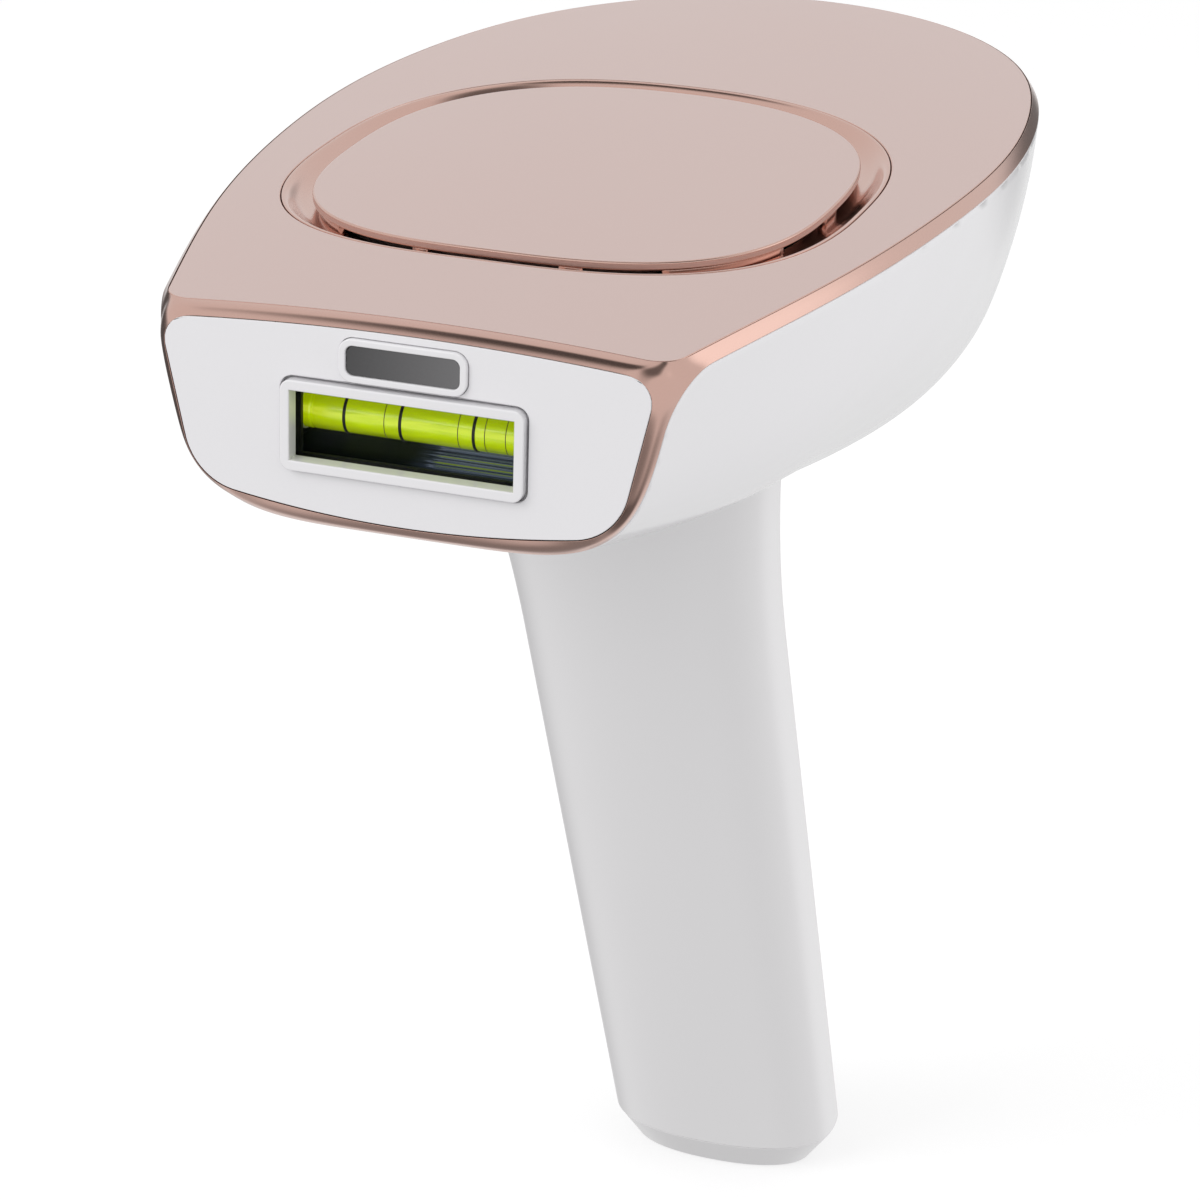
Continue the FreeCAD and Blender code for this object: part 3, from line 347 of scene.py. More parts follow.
class Curve:
    """Smooth curve through points, read by its share of length from 0 to 1."""

    def __init__(self, points, samples=2000):
        points = np.array(points, dtype=float)
        steps = np.linalg.norm(np.diff(points, axis=0), axis=1)
        knots = np.concatenate([[0.0], np.cumsum(steps)])
        slopes = self.slopes(points, knots)
        t = np.linspace(0.0, knots[-1], samples)
        i = np.clip(np.searchsorted(knots, t, side="right") - 1, 0, len(points) - 2)
        h = (knots[i + 1] - knots[i])[:, None]
        s = ((t - knots[i])[:, None]) / h
        self.points = ((2 * s**3 - 3 * s**2 + 1) * points[i] + (s**3 - 2 * s**2 + s) * h * slopes[i]
                       + (-2 * s**3 + 3 * s**2) * points[i + 1] + (s**3 - s**2) * h * slopes[i + 1])
        self.set_lengths()

    @staticmethod
    def slopes(points, knots):
        """Slopes at the points of the curve whose curvature is continuous."""
        n = len(points)
        h = np.diff(knots)
        chord = np.diff(points, axis=0) / h[:, None]
        a = np.zeros((n, n))
        b = np.zeros_like(points)
        a[0, 0] = a[-1, -1] = 1.0
        b[0] = chord[0] + (chord[0] - chord[1]) * h[0] / (h[0] + h[1])
        b[-1] = chord[-1] + (chord[-1] - chord[-2]) * h[-1] / (h[-1] + h[-2])
        for k in range(1, n - 1):
            a[k, k - 1] = h[k]
            a[k, k] = 2 * (h[k - 1] + h[k])
            a[k, k + 1] = h[k - 1]
            b[k] = 3 * (h[k] * chord[k - 1] + h[k - 1] * chord[k])
        return np.linalg.solve(a, b)

    def set_lengths(self):
        steps = np.linalg.norm(np.diff(self.points, axis=0), axis=1)
        self.lengths = np.concatenate([[0.0], np.cumsum(steps)])
        self.length = self.lengths[-1]

    def at(self, share):
        """Point or points at a share of the length."""
        where = np.asarray(share) * self.length
        return np.stack([np.interp(where, self.lengths, self.points[:, k])
                         for k in range(self.points.shape[1])], axis=-1)


class Path(Curve):
    """The same reading of a line that is already dense."""

    def __init__(self, points):
        self.points = np.array(points, dtype=float)
        self.set_lengths()


def fillet(before, after, radius, steps=24):
    """Joins two dense lines at their common end with a rounded corner; returns one dense line."""
    first = Path(before)
    second = Path(after)
    run_in = first.points[-1] - first.at(1 - 1.0 / first.length)
    run_out = second.at(1.0 / second.length) - second.points[0]
    cosine = np.dot(run_in, run_out) / np.linalg.norm(run_in) / np.linalg.norm(run_out)
    turn = math.acos(np.clip(cosine, -1, 1))
    back = radius * math.tan(turn / 2)
    reach = 4 / 3 * math.tan(turn / 4) * radius
    start = first.at(1 - back / first.length)
    end = second.at(back / second.length)
    start_run = start - first.at(1 - (back + 0.2) / first.length)
    end_run = second.at((back + 0.2) / second.length) - end
    handle_a = start + start_run / np.linalg.norm(start_run) * reach
    handle_b = end - end_run / np.linalg.norm(end_run) * reach
    t = np.linspace(0, 1, steps)[:, None]
    arc = (1 - t)**3 * start + 3 * (1 - t)**2 * t * handle_a + 3 * (1 - t) * t**2 * handle_b + t**3 * end
    keep_a = first.points[first.lengths < first.length - back]
    keep_b = second.points[second.lengths > back]
    return np.concatenate([keep_a, arc, keep_b]), len(keep_a) + steps // 2


# ---------------------------------------------------------------- head form

HALF_PLAN = Curve(PLAN_POINTS + [(-x, y) for x, y in PLAN_POINTS[-2::-1]], samples=4001)


def plan_line(offset):
    """Dense right half of the plan outline moved outwards by offset, front corner to tip."""
    points = HALF_PLAN.points
    run = np.gradient(points, axis=0)
    run /= np.linalg.norm(run, axis=1)[:, None]
    moved = points + np.stack([run[:, 1], -run[:, 0]], axis=1) * offset
    half = moved[:2001].copy()
    half[-1, 0] = 0.0
    return half


CREASE_LINE = plan_line(0.0)
BAND_LINE = plan_line(BAND_OUT)


def half_width(line, y):
    """Half width of a plan line at y."""
    return np.interp(y, line[:, 1], line[:, 0])


def crown_z(x, y):
    """Height of the head's crowned top."""
    across = np.sqrt(CROWN_ACROSS_R**2 - np.square(x)) - CROWN_ACROSS_R
    return CROWN_Z - CROWN_ALONG_R + np.sqrt((CROWN_ALONG_R + across)**2 - np.square(y - CROWN_Y))


def on_crown(points, drop=0.0):
    """Plan points lifted onto the crown, or drop below it."""
    points = np.asarray(points)
    z = crown_z(points[..., 0], points[..., 1]) - drop
    return np.concatenate([points[..., :2], z[..., None]], axis=-1)


def smooth_step(start, end, share):
    share = min(max(share, 0.0), 1.0)
    return start + (end - start) * share * share * (3 - 2 * share)


def hull_depth(y):
    """Depth of the hull below the band."""
    if y < HULL_KEEL_Y:
        share = (HULL_KEEL_Y - y) / (HULL_KEEL_Y - PLATE_FRONT_Y)
        return HULL_KEEL_DEPTH - (HULL_KEEL_DEPTH - HULL_FRONT_DEPTH) * share**HULL_DEPTH_CURVE
    return HULL_KEEL_DEPTH * (HULL_TIP_Y - y) / (HULL_TIP_Y - HULL_KEEL_Y)


def rim_z(y):
    """Height of the seam between band and hull."""
    inner = half_width(CREASE_LINE, min(max(y, PLATE_FRONT_Y), PLAN_POINTS[-1][1] - 0.05))
    return float(crown_z(inner, y)) - BAND_DROP


def hull_line(y):
    """Dense right half of the hull's section at y, from the rim down to the keel."""
    share = (y - PLATE_FRONT_Y) / HULL_SHAPE_RUN
    exponent = smooth_step(HULL_FRONT_EXPONENT, HULL_BODY_EXPONENT, share)
    lean = smooth_step(HULL_FRONT_LEAN, HULL_BODY_LEAN, share)
    angle = np.linspace(0, math.pi / 2, 241)**1.6 / (math.pi / 2)**0.6
    down = hull_depth(y) * np.sin(angle)**(2 / exponent)
    across = (half_width(BAND_LINE, y) - lean * down) * np.abs(np.cos(angle))**(2 / exponent)
    across[-1] = 0.0
    return Path(np.stack([across, np.full_like(across, y), rim_z(y) - down], axis=1))


def round_corner(a, b, radius):
    """Moves a point of the square next to a corner so that the square's corner becomes an arc."""
    p = (radius - a) / radius
    q = (radius - b) / radius
    if p <= 0 or q <= 0:
        return a, b
    if p >= q:
        angle = math.pi / 4 * q / p
        return radius - radius * p * math.cos(angle), radius - radius * p * math.sin(angle)
    angle = math.pi / 4 * p / q
    return radius - radius * q * math.sin(angle), radius - radius * q * math.cos(angle)


def hull_point(behind, below):
    """Point of the hull's skin: distance behind its front, distance below its rim along the skin."""
    line = hull_line(PLATE_FRONT_Y + behind)
    return line.at(min(below / line.length, 1.0))


def on_surface(tilt_deg, origin):
    """Frame whose +Z stands out of a surface."""
    return Matrix.Translation(Vector(origin) * MM) @ Matrix.Rotation(math.radians(tilt_deg), 4, "X")


HULL_SLOPE = math.degrees(math.atan(HULL_KEEL_DEPTH / (HULL_TIP_Y - HULL_KEEL_Y)))
LEVEL_PLACE = on_surface(-(180.0 - HULL_SLOPE), (0, LEVEL_Y, rim_z(LEVEL_Y) - hull_depth(LEVEL_Y)))
PULSE_PLACE = on_surface(-(90.0 - math.degrees(math.atan(GRIP_LEAN))),
                         (0, -GRIP_LEAN * (PULSE_Z - CAP_Z) + GRIP_REAR_HALF_D, PULSE_Z))


# ---------------------------------------------------------------- mesh making

def finish_piece(work, name, body, finish, nodes, centre=None):
    """Object from a bmesh, smooth, facing out from centre, riding on a body and standing for CAD nodes."""
    bmesh.ops.recalc_face_normals(work, faces=work.faces)
    if centre is not None:
        middle = Vector(centre) * MM
        out = sum(f.normal.dot(f.calc_center_median() - middle) * f.calc_area() for f in work.faces)
        if out < 0:
            bmesh.ops.reverse_faces(work, faces=work.faces)
    for face in work.faces:
        face.smooth = True
    mesh = bpy.data.meshes.new(name)
    work.to_mesh(mesh)
    work.free()
    piece = bpy.data.objects.new(name, mesh)
    bpy.context.collection.objects.link(piece)
    mesh.materials.append(MATERIALS[finish])
    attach(piece, body)
    if nodes:
        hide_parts(*nodes)
    return piece


def new_piece(name, points, faces, body, finish, nodes, centre=None):
    """The same from points in millimetres and faces."""
    mesh = bpy.data.meshes.new(name)
    mesh.from_pydata([tuple(float(c) * MM for c in p) for p in points], [], faces)
    work = bmesh.new()
    work.from_mesh(mesh)
    bpy.data.meshes.remove(mesh)
    bmesh.ops.remove_doubles(work, verts=work.verts, dist=1e-7)
    return finish_piece(work, name, body, finish, nodes, centre)


def grid_faces(rows, columns, closed=False):
    """Quads between rows of equal length."""
    faces = []
    last = columns if closed else columns - 1
    for r in range(rows - 1):
        for c in range(last):
            d = (c + 1) % columns
            faces.append((r * columns + c, r * columns + d, (r + 1) * columns + d, (r + 1) * columns + c))
    return faces


def new_skin(name, rows, body, finish, nodes, centre=None, closed=True):
    """Piece from rows of points of equal length; closed also joins the two ends of each row."""
    faces = grid_faces(len(rows), len(rows[0]), closed)
    return new_piece(name, np.concatenate(rows), faces, body, finish, nodes, centre)


def add_thickness(piece, depth):
    solid = piece.modifiers.new("wall", "SOLIDIFY")
    solid.thickness = depth * MM
    solid.offset = -1.0
    return solid


def add_bevel(piece, width, segments=3, angle=40.0, slot_index=-1):
    """Rounds every edge sharper than angle."""
    bevel = piece.modifiers.new("edge", "BEVEL")
    bevel.width = width * MM
    bevel.segments = segments
    bevel.limit_method = "ANGLE"
    bevel.angle_limit = math.radians(angle)
    bevel.use_clamp_overlap = False
    bevel.harden_normals = True
    bevel.material = slot_index
    return bevel


def add_subdivision(piece, levels):
    smooth = piece.modifiers.new("smooth", "SUBSURF")
    smooth.levels = levels
    smooth.render_levels = levels
    return smooth


def prism(name, outer, holes, low, high, body, finish, nodes, bevel=0.2, place=None):
    """Block with a flat outline and holes, from low to high; it faces -Y unless placed."""
    place = place or FACING_FRONT
    work = bmesh.new()
    edges = []
    for loop in [outer] + holes:
        verts = [work.verts.new(place @ Vector((u * MM, v * MM, low * MM))) for u, v in loop]
        edges += [work.edges.new((a, b)) for a, b in zip(verts, verts[1:] + verts[:1])]
    bmesh.ops.triangle_fill(work, edges=edges, use_beauty=True)
    grown = bmesh.ops.extrude_face_region(work, geom=list(work.faces))
    moved = [v for v in grown["geom"] if isinstance(v, bmesh.types.BMVert)]
    step = place.to_3x3() @ Vector((0, 0, (high - low) * MM))
    bmesh.ops.translate(work, verts=moved, vec=step)
    add_bevel(finish_piece(work, name, body, finish, nodes), bevel)


# Maps an outline's (x, z) and its depth y into the row frame.
FACING_FRONT = Matrix(((1, 0, 0, 0), (0, 0, 1, 0), (0, 1, 0, 0), (0, 0, 0, 1)))


def cut_out(piece, cutter):
    """Cuts one object out of another for good, and removes the cutter."""
    cut = piece.modifiers.new("cut", "BOOLEAN")
    cut.operation = "DIFFERENCE"
    cut.solver = "EXACT"
    cut.object = cutter
    bpy.context.view_layer.update()
    graph = bpy.context.evaluated_depsgraph_get()
    mesh = bpy.data.meshes.new_from_object(piece.evaluated_get(graph))
    piece.modifiers.clear()
    piece.data = mesh
    mesh.set_sharp_from_angle(angle=math.radians(38))
    bpy.data.objects.remove(cutter)


def plain_cutter(outline, low, high, place):
    """Closed block used only to cut with."""
    count = len(outline)
    points = [place @ Vector((u * MM, v * MM, w * MM)) for w in (low, high) for u, v in outline]
    faces = grid_faces(2, count, closed=True)
    faces += [tuple(range(count)), tuple(range(2 * count - 1, count - 1, -1))]
    mesh = bpy.data.meshes.new("cutter")
    mesh.from_pydata(points, [], faces)
    work = bmesh.new()
    work.from_mesh(mesh)
    bmesh.ops.recalc_face_normals(work, faces=work.faces)
    work.to_mesh(mesh)
    work.free()
    cutter = bpy.data.objects.new("cutter", mesh)
    bpy.context.collection.objects.link(cutter)
    return cutter


def front_of(node):
    """Where a CAD node's front stands, in millimetres along Y."""
    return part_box(node)[0][1] / MM


def back_of(node):
    """Where a CAD node's back stands, in millimetres along Y."""
    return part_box(node)[1][1] / MM


def rounded_rect(width, height, centre_z, radius, steps=8):
    """(x, z) outline of a rectangle with rounded corners, centred on X = 0."""
    points = []
    for k, (sx, sz) in enumerate(((1, 1), (-1, 1), (-1, -1), (1, -1))):
        for s in range(steps + 1):
            angle = math.pi / 2 * (k + s / steps)
            points.append((sx * (width / 2 - radius) + radius * math.cos(angle),
                           centre_z + sz * (height / 2 - radius) + radius * math.sin(angle)))
    return points


def oval_at(half_x, half_y, exponent, angle):
    """Points of the squarish oval at polar angles about (0, RING_Y)."""
    c = np.cos(angle)
    s = np.sin(angle)
    reach = (np.abs(c / half_x)**exponent + np.abs(s / half_y)**exponent)**(-1 / exponent)
    return np.stack([reach * c, RING_Y + reach * s], axis=1)


def ring_loop(inset, angle):
    """The vent ring's outline moved inwards, at polar angles."""
    return oval_at(RING_HALF_W - inset, RING_HALF_L - inset, RING_EXPONENT, angle)


# ---------------------------------------------------------------- materials

MATERIALS = {}


def make_material(name, color, metallic=0.0, roughness=0.4, coat=0.0, coat_roughness=0.05,
                  tint=0.04, grain_mm=0.3, bump_mm=0.002, rough_change=0.05, alpha=1.0):
    """Moulded or coated surface: fine grain in its relief, and slow change in colour and gloss."""
    material = bpy.data.materials.new(name)
    material.use_nodes = True
    tree = material.node_tree
    place = add_node(tree, "TexCoord", {}).outputs["Object"]
    slow = add_node(tree, "TexNoise", {"Vector": place, "Scale": 22.0, "Detail": 3.0, "Roughness": 0.55})
    fine = add_node(tree, "TexNoise", {"Vector": place, "Scale": 1.0 / (grain_mm * MM), "Detail": 2.0,
                                       "Roughness": 0.6})
    slow, fine = slow.outputs["Fac"], fine.outputs["Fac"]
    blend = multiply(tree, fine, 0.5, multiply(tree, slow, 0.5))
    dark = [c * (1 - tint) for c in color]
    pale = [min(c * (1 + tint), 1.0) for c in color]
    gloss = map_range(tree, slow, 0.15, 0.85, max(roughness - rough_change, 0.0), roughness + rough_change)
    bump = add_node(tree, "Bump", {"Height": fine, "Strength": 1.0, "Distance": bump_mm * MM})
    set_inputs(tree, tree.nodes["Principled BSDF"],
               {"Base Color": ramp_colors(tree, blend, [(0.2, dark), (0.8, pale)]), "Roughness": gloss,
                "Normal": bump.outputs["Normal"], "Metallic": metallic, "Coat Weight": coat,
                "Coat Roughness": coat_roughness, "IOR": 1.5, "Alpha": alpha})
    MATERIALS[name] = material
    return material


def ramp_colors(tree, value, stops):
    """Colour from a value by (place, colour) stops."""
    ramp = add_node(tree, "ValToRGB", {"Fac": value})
    elements = ramp.color_ramp.elements
    while len(elements) < len(stops):
        elements.new(0.5)
    for element, (place, color) in zip(elements, stops):
        element.position = place
        element.color = (*color, 1)
    return ramp.outputs["Color"]


def fade(tree, axis, low, high):
    """Share from 0 at one place along an axis of the piece to 1 at another, in millimetres."""
    place = add_node(tree, "TexCoord", {}).outputs["Object"]
    along = add_node(tree, "SeparateXYZ", {"Vector": place}).outputs[axis]
    return map_range(tree, along, low * MM, high * MM, 0.0, 1.0)


def streaks(tree, along, across):
    """Noise drawn out along X, from 0 to 1."""
    place = add_node(tree, "TexCoord", {}).outputs["Object"]
    scale = (1 / (along * MM), 1 / (across * MM), 1 / (across * MM))
    drawn = add_node(tree, "Mapping", {"Vector": place, "Scale": scale}).outputs["Vector"]
    return add_node(tree, "TexNoise", {"Vector": drawn, "Scale": 1.0, "Detail": 2.0,
                                       "Roughness": 0.5}).outputs["Fac"]


def add_painted_glow(material, strength, value, stops):
    """Paints light into a material: makes it glow in the colours that a value picks."""
    tree = material.node_tree
    set_inputs(tree, tree.nodes["Principled BSDF"],
               {"Emission Color": ramp_colors(tree, value, stops), "Emission Strength": strength})


def paint_glow_on_lamp_glass(material):
    """Painted light on the sleeve: a glow with painted shade at its lower edge and painted highlight streaks
    along its middle.
    """
    tree = material.node_tree
    height = fade(tree, "Z", LAMP_Z - SLEEVE_R, LAMP_Z + SLEEVE_R)
    # Painted light: dim glow for painted shade at the sleeve's lower edge, bright glow for painted highlights
    # along its middle.
    add_painted_glow(material, 0.62, multiply(tree, streaks(tree, 5.0, 0.45), 0.42, height),
             [(0.2, (0.10, 0.14, 0.0)), (0.45, (0.36, 0.46, 0.0)), (0.66, (0.62, 0.80, 0.0)),
              (0.78, (0.86, 0.98, 0.06)), (0.90, (0.55, 0.72, 0.0)), (1.0, (0.40, 0.52, 0.0))])


def paint_reflections_on_reflector(material):
    """Painted reflections: glowing blue-grey streaks, with some green, over the right half of the dark
    reflector.
    """
    tree = material.node_tree
    # Painted reflection: glowing streaks that stand in for light mirrored in the reflector.
    add_painted_glow(material, 1.0, multiply(tree, fade(tree, "X", -4.0, 1.5), streaks(tree, 80.0, 0.45)),
             [(0.15, (0.0, 0.0, 0.0)), (0.42, (0.015, 0.02, 0.03)), (0.50, (0.10, 0.12, 0.16)),
              (0.56, (0.02, 0.03, 0.04)), (0.62, (0.14, 0.2, 0.02))])


def paint_reflection_on_sensor_glass(material):
    """Dark glass with a painted reflection: a glow that grows paler towards its right end."""
    half = SENSOR_WINDOW_W / 2
    # Painted reflection: glow from none at the left end to faint grey at the right end.
    add_painted_glow(material, 1.0, fade(material.node_tree, "X", -half, half),
             [(0.0, (0.0, 0.0, 0.0)), (1.0, (0.085, 0.083, 0.085))])


def make_materials():
    """Every finish, by the record's slot names."""
    make_material("rose_satin", (0.77, 0.60, 0.56), metallic=0.9, roughness=0.4, tint=0.025,
                  grain_mm=0.12, bump_mm=0.0015, rough_change=0.03, coat=0.15, coat_roughness=0.25)
    make_material("rose_bright", (0.71, 0.46, 0.39), metallic=1.0, roughness=0.17, coat=0.3, tint=0.03,
                  grain_mm=0.2, bump_mm=0.001, rough_change=0.04)
    make_material("white_gloss", (0.84, 0.83, 0.85), roughness=0.18, coat=0.6, tint=0.008,
                  grain_mm=0.6, bump_mm=0.001, rough_change=0.04)
    make_material("white_satin", (0.84, 0.83, 0.84), roughness=0.32, coat=0.2, coat_roughness=0.2,
                  tint=0.01, grain_mm=0.25, bump_mm=0.003, rough_change=0.05)
    make_material("clear_glass", (0.02, 0.03, 0.03), roughness=0.03, rough_change=0.01, alpha=0.08, tint=0.02,
                  bump_mm=0.0)
    # The sensor glass carries a painted reflection: a glow that grows paler towards its right end.
    paint_reflection_on_sensor_glass(make_material("dark_glass", (0.035, 0.034, 0.036), roughness=0.22, coat=0.6,
                                     tint=0.15))
    # The sleeve glows with painted light: painted shade at its lower edge, painted highlight streaks along
    # its middle.
    paint_glow_on_lamp_glass(make_material("tinted_glass", (0.46, 0.66, 0.0), roughness=0.08, coat=1.0, tint=0.12,
                                   rough_change=0.03, grain_mm=0.8, bump_mm=0.0))
    make_material("light_guide", (0.75, 0.8, 0.85), roughness=0.25, tint=0.03)
    make_material("steel", (0.56, 0.56, 0.58), metallic=1.0, roughness=0.3, tint=0.06, grain_mm=0.15)
    make_material("black_plastic", (0.02, 0.02, 0.022), roughness=0.45, tint=0.2, bump_mm=0.01)
    make_material("ceramic_white", (0.75, 0.74, 0.7), roughness=0.5, tint=0.05, bump_mm=0.01)
    # The reflector carries painted reflections: glowing blue-grey and green streaks on its right half.
    paint_reflections_on_reflector(make_material("mirror_finish", (0.10, 0.11, 0.14), metallic=1.0, roughness=0.16, tint=0.3,
                                  grain_mm=2.0))
    make_material("frame_plastic", (0.16, 0.165, 0.18), roughness=0.5, tint=0.15, bump_mm=0.01)
    make_material("circuit_board", (0.02, 0.13, 0.06), roughness=0.35, tint=0.25, grain_mm=1.2)
    make_material("copper_core", (0.5, 0.25, 0.1), metallic=0.8, roughness=0.35, tint=0.2, grain_mm=0.5)
    make_material("filter_mat", (0.05, 0.05, 0.055), roughness=0.95, tint=0.4, grain_mm=0.5, bump_mm=0.2)
    make_material("capacitor_can", (0.03, 0.035, 0.08), roughness=0.3, tint=0.15)


def dress_frame():
    """Gives every CAD node the finish of its record slot."""
    for row in frame["record"]["subparts"]:
        node = frame["nodes"][row["node"]]
        material = MATERIALS[row["material_slot"]]
        if not node.material_slots:
            node.data.materials.append(material)
        for holder in node.material_slots:
            holder.material = material


# ---------------------------------------------------------------- top of the head

def plate_outline(offset, corner_r):
    """Dense right half of the top plate's outline, front middle to tip, and the corner's index."""
    side = plan_line(-offset)
    front_y = PLATE_FRONT_Y + offset
    side = side[side[:, 1] > front_y]
    corner = np.array([half_width(plan_line(-offset), front_y), front_y])
    front = np.stack([np.linspace(0, corner[0], 400), np.full(400, front_y)], axis=1)
    side = np.concatenate([[corner], side])
    return fillet(front, side, corner_r)


def make_top_plate():
    """Crowned satin plate between the trim band and the vent ring."""
    inset = BAND_LIP + HAIRLINE
    line, corner = plate_outline(inset, PLATE_CORNER_R)
    path = Path(line)
    turn = path.lengths[corner] / path.length
    shares = np.concatenate([np.linspace(0, turn - 0.02, 24), np.linspace(turn - 0.02, turn + 0.02, 14)[1:],
                             np.linspace(turn + 0.02, 1, 70)[1:]])
    right = path.at(shares)
    left = right[-2:0:-1] * np.array([-1, 1])
    outer = np.concatenate([right, left])
    angle = np.arctan2(outer[:, 1] - RING_Y, outer[:, 0])
    inner = ring_loop(-0.9, angle)
    rows = [on_crown(inner + (outer - inner) * share) for share in np.linspace(0, 1, 22)]
    piece = new_skin("top_plate_skin", rows, "main_body", "rose_satin", ["top_plate"], centre=(0, -60, 0))
    piece.data.materials.append(MATERIALS["rose_bright"])
    add_thickness(piece, PLATE_T)
    add_bevel(piece, 0.16, slot_index=1)


def make_vent_panel():
    """Squarish oval lid, flush with the plate, with a low boss under it."""
    angle = np.arange(160) * 2 * math.pi / 160
    edge = ring_loop(PANEL_INSET, angle)
    centre = np.array([0.0, RING_Y])
    rows = [on_crown(centre + (edge - centre) * share) for share in np.linspace(0.04, 1, 18)]
    points = np.concatenate(rows + [on_crown(centre)[None, :]])
    faces = grid_faces(len(rows), len(edge), closed=True)
    hub = len(points) - 1
    faces += [(c, (c + 1) % len(edge), hub) for c in range(len(edge))]
    piece = new_piece("vent_panel_skin", points, faces, "main_body", "rose_satin", ["vent_panel"],
                      centre=(0, RING_Y, 0))
    piece.data.materials.append(MATERIALS["rose_bright"])
    add_thickness(piece, PANEL_T)
    add_bevel(piece, 0.3, slot_index=1)
    rows = [on_crown(ring_loop(inset, angle), drop) for inset, drop in PANEL_BOSS]
    new_skin("vent_panel_boss", rows, "main_body", "rose_satin", ["vent_panel"])


# Groove profile: (inset from the ring's outline, drop below the crown).
GROOVE = [(-0.78, 1.6), (-0.78, 0.12), (-0.72, 0.02), (-0.60, 0.0), (-0.25, 0.06), (0.3, 0.55), (1.0, 1.45),
          (1.8, 2.15), (2.6, 2.45), (4.9, 2.55), (5.0, 2.6), (5.0, 3.6)]
SLOT_SPANS = [(-23.0, -12.0), (-8.5, 8.5), (12.5, 21.5)]
SLOTTED_ENDS = 30.0
SIDE_SLOT = (3.0, 16.0)


def make_vent_ring():
    """Polished gutter round the panel, and the ribs that stand between its air slots."""
    count = 192
    angle = np.arange(count) * 2 * math.pi / count
    rows = [on_crown(ring_loop(inset, angle), drop) for inset, drop in GROOVE]
    piece = new_skin("vent_ring_gutter", rows, "main_body", "rose_bright", ["vent_ring"],
                     centre=(0, RING_Y, 0))
    add_subdivision(piece, 2)
    make_vent_ribs()


def make_vent_ribs():
    """Inner wall of the gutter in pieces, with open slots between them."""
    points = []
    faces = []
    steps = 240
    angle = np.arange(steps) * 2 * math.pi / steps
    front, back = (ring_loop(inset, angle) for inset in RIB_INSETS)
    high, low = RIB_DROPS
    solid = [not in_slot(x, y) for x, y in front]
    for k in range(steps):
        n = (k + 1) % steps
        if not (solid[k] and solid[n]):
            continue
        base = len(points)
        for a, b in ((front[k], back[k]), (front[n], back[n])):
            points += [on_crown(a, high), on_crown(a, low), on_crown(b, low), on_crown(b, high)]
        faces += [(base, base + 4, base + 5, base + 1), (base + 3, base + 2, base + 6, base + 7),
                  (base, base + 3, base + 7, base + 4), (base + 1, base + 5, base + 6, base + 2)]
        if not solid[k - 1]:
            faces.append((base, base + 1, base + 2, base + 3))
        if not solid[(n + 1) % steps]:
            faces.append((base + 4, base + 7, base + 6, base + 5))
    new_piece("vent_ribs", points, faces, "main_body", "rose_bright", [])


def in_slot(x, y):
    """True where the gutter's inner wall is open."""
    if abs(y - RING_Y) > SLOTTED_ENDS:
        return any(low < x < high for low, high in SLOT_SPANS)
    return SIDE_SLOT[0] < abs(y - RING_Y) < SIDE_SLOT[1]


# ---------------------------------------------------------------- trim

def face_line(inset):
    """Dense right half of the white face's outline, top middle to bottom middle, and its upper corner."""
    top_corner = FACE_TOP_CORNER - inset
    low_corner = FACE_LOW_CORNER + np.array([-inset, inset])
    top = arc_through((0, FACE_TOP_Z - inset), top_corner)
    leg = np.linspace(top_corner, low_corner, 300)
    low = arc_through((0, FACE_LOW_Z + inset), low_corner)[::-1]
    first, corner = fillet(top, leg, FACE_UPPER_R)
    return fillet(first, low, FACE_LOWER_R)[0], corner


def arc_through(middle, end):
    """Dense arc from its middle on X = 0 to an end, flat at the middle."""
    rise = middle[1] - end[1]
    radius = (end[0]**2 + rise**2) / (2 * rise)
    reach = math.asin(end[0] / abs(radius))
    angle = np.linspace(0, reach, 400)
    return np.stack([abs(radius) * np.sin(angle), middle[1] - radius * (1 - np.cos(angle))], axis=1)


def resample(path, start, end, count):
    """Points between two lengths of a path."""
    return path.at(np.linspace(start, end, count) / path.length)


def trim_lines():
    """Borders of the trim's three strips, each from the corner on, and the corner's middle."""
    plate, plate_corner = plate_outline(BAND_LIP, PLATE_CORNER_R)
    plate = Path(on_crown(plate))
    turn = plate.lengths[plate_corner]
    outline, face_corner = face_line(0.0)
    face = Path(np.stack([outline[:, 0], np.full(len(outline), FACE_Y), outline[:, 1]], axis=1))
    face_turn = face.lengths[face_corner]
    steps = np.linspace(0, WEB_R, CORNER_STEPS + 1)
    rim = [hull_point(*round_corner(step, 0.0, WEB_R)) for step in steps]
    leg = [hull_point(*round_corner(0.0, step, WEB_R)) for step in steps]
    rear = np.linspace(WEB_R, HULL_TIP_Y - PLATE_FRONT_Y, 400)[1:]
    rim_rear = Path(np.array([rim[-1]] + [hull_point(a, 0.0) for a in rear]))
    front = hull_line(PLATE_FRONT_Y)
    leg_front = Path(resample(front, WEB_R, front.length, 400))

    def past_corner(path, start, turn_run, count):
        after = resample(path, start + turn_run, path.length, count + 1)[1:]
        return np.concatenate([resample(path, start, start + turn_run, CORNER_STEPS + 1), after])

    top = (resample(plate, turn, 0.0, TOP_STEPS + 1), resample(face, face_turn, 0.0, TOP_STEPS + 1))
    band = (past_corner(plate, turn, BAND_CORNER_RUN, BAND_STEPS),
            np.concatenate([rim, resample(rim_rear, 0.0, rim_rear.length, BAND_STEPS + 1)[1:]]))
    leg = (past_corner(face, face_turn, LEG_CORNER_RUN, LEG_STEPS),
           np.concatenate([leg, resample(leg_front, 0.0, leg_front.length, LEG_STEPS + 1)[1:]]))
    return top, band, leg, (top[0][0] + top[1][0] + band[1][0]) / 3


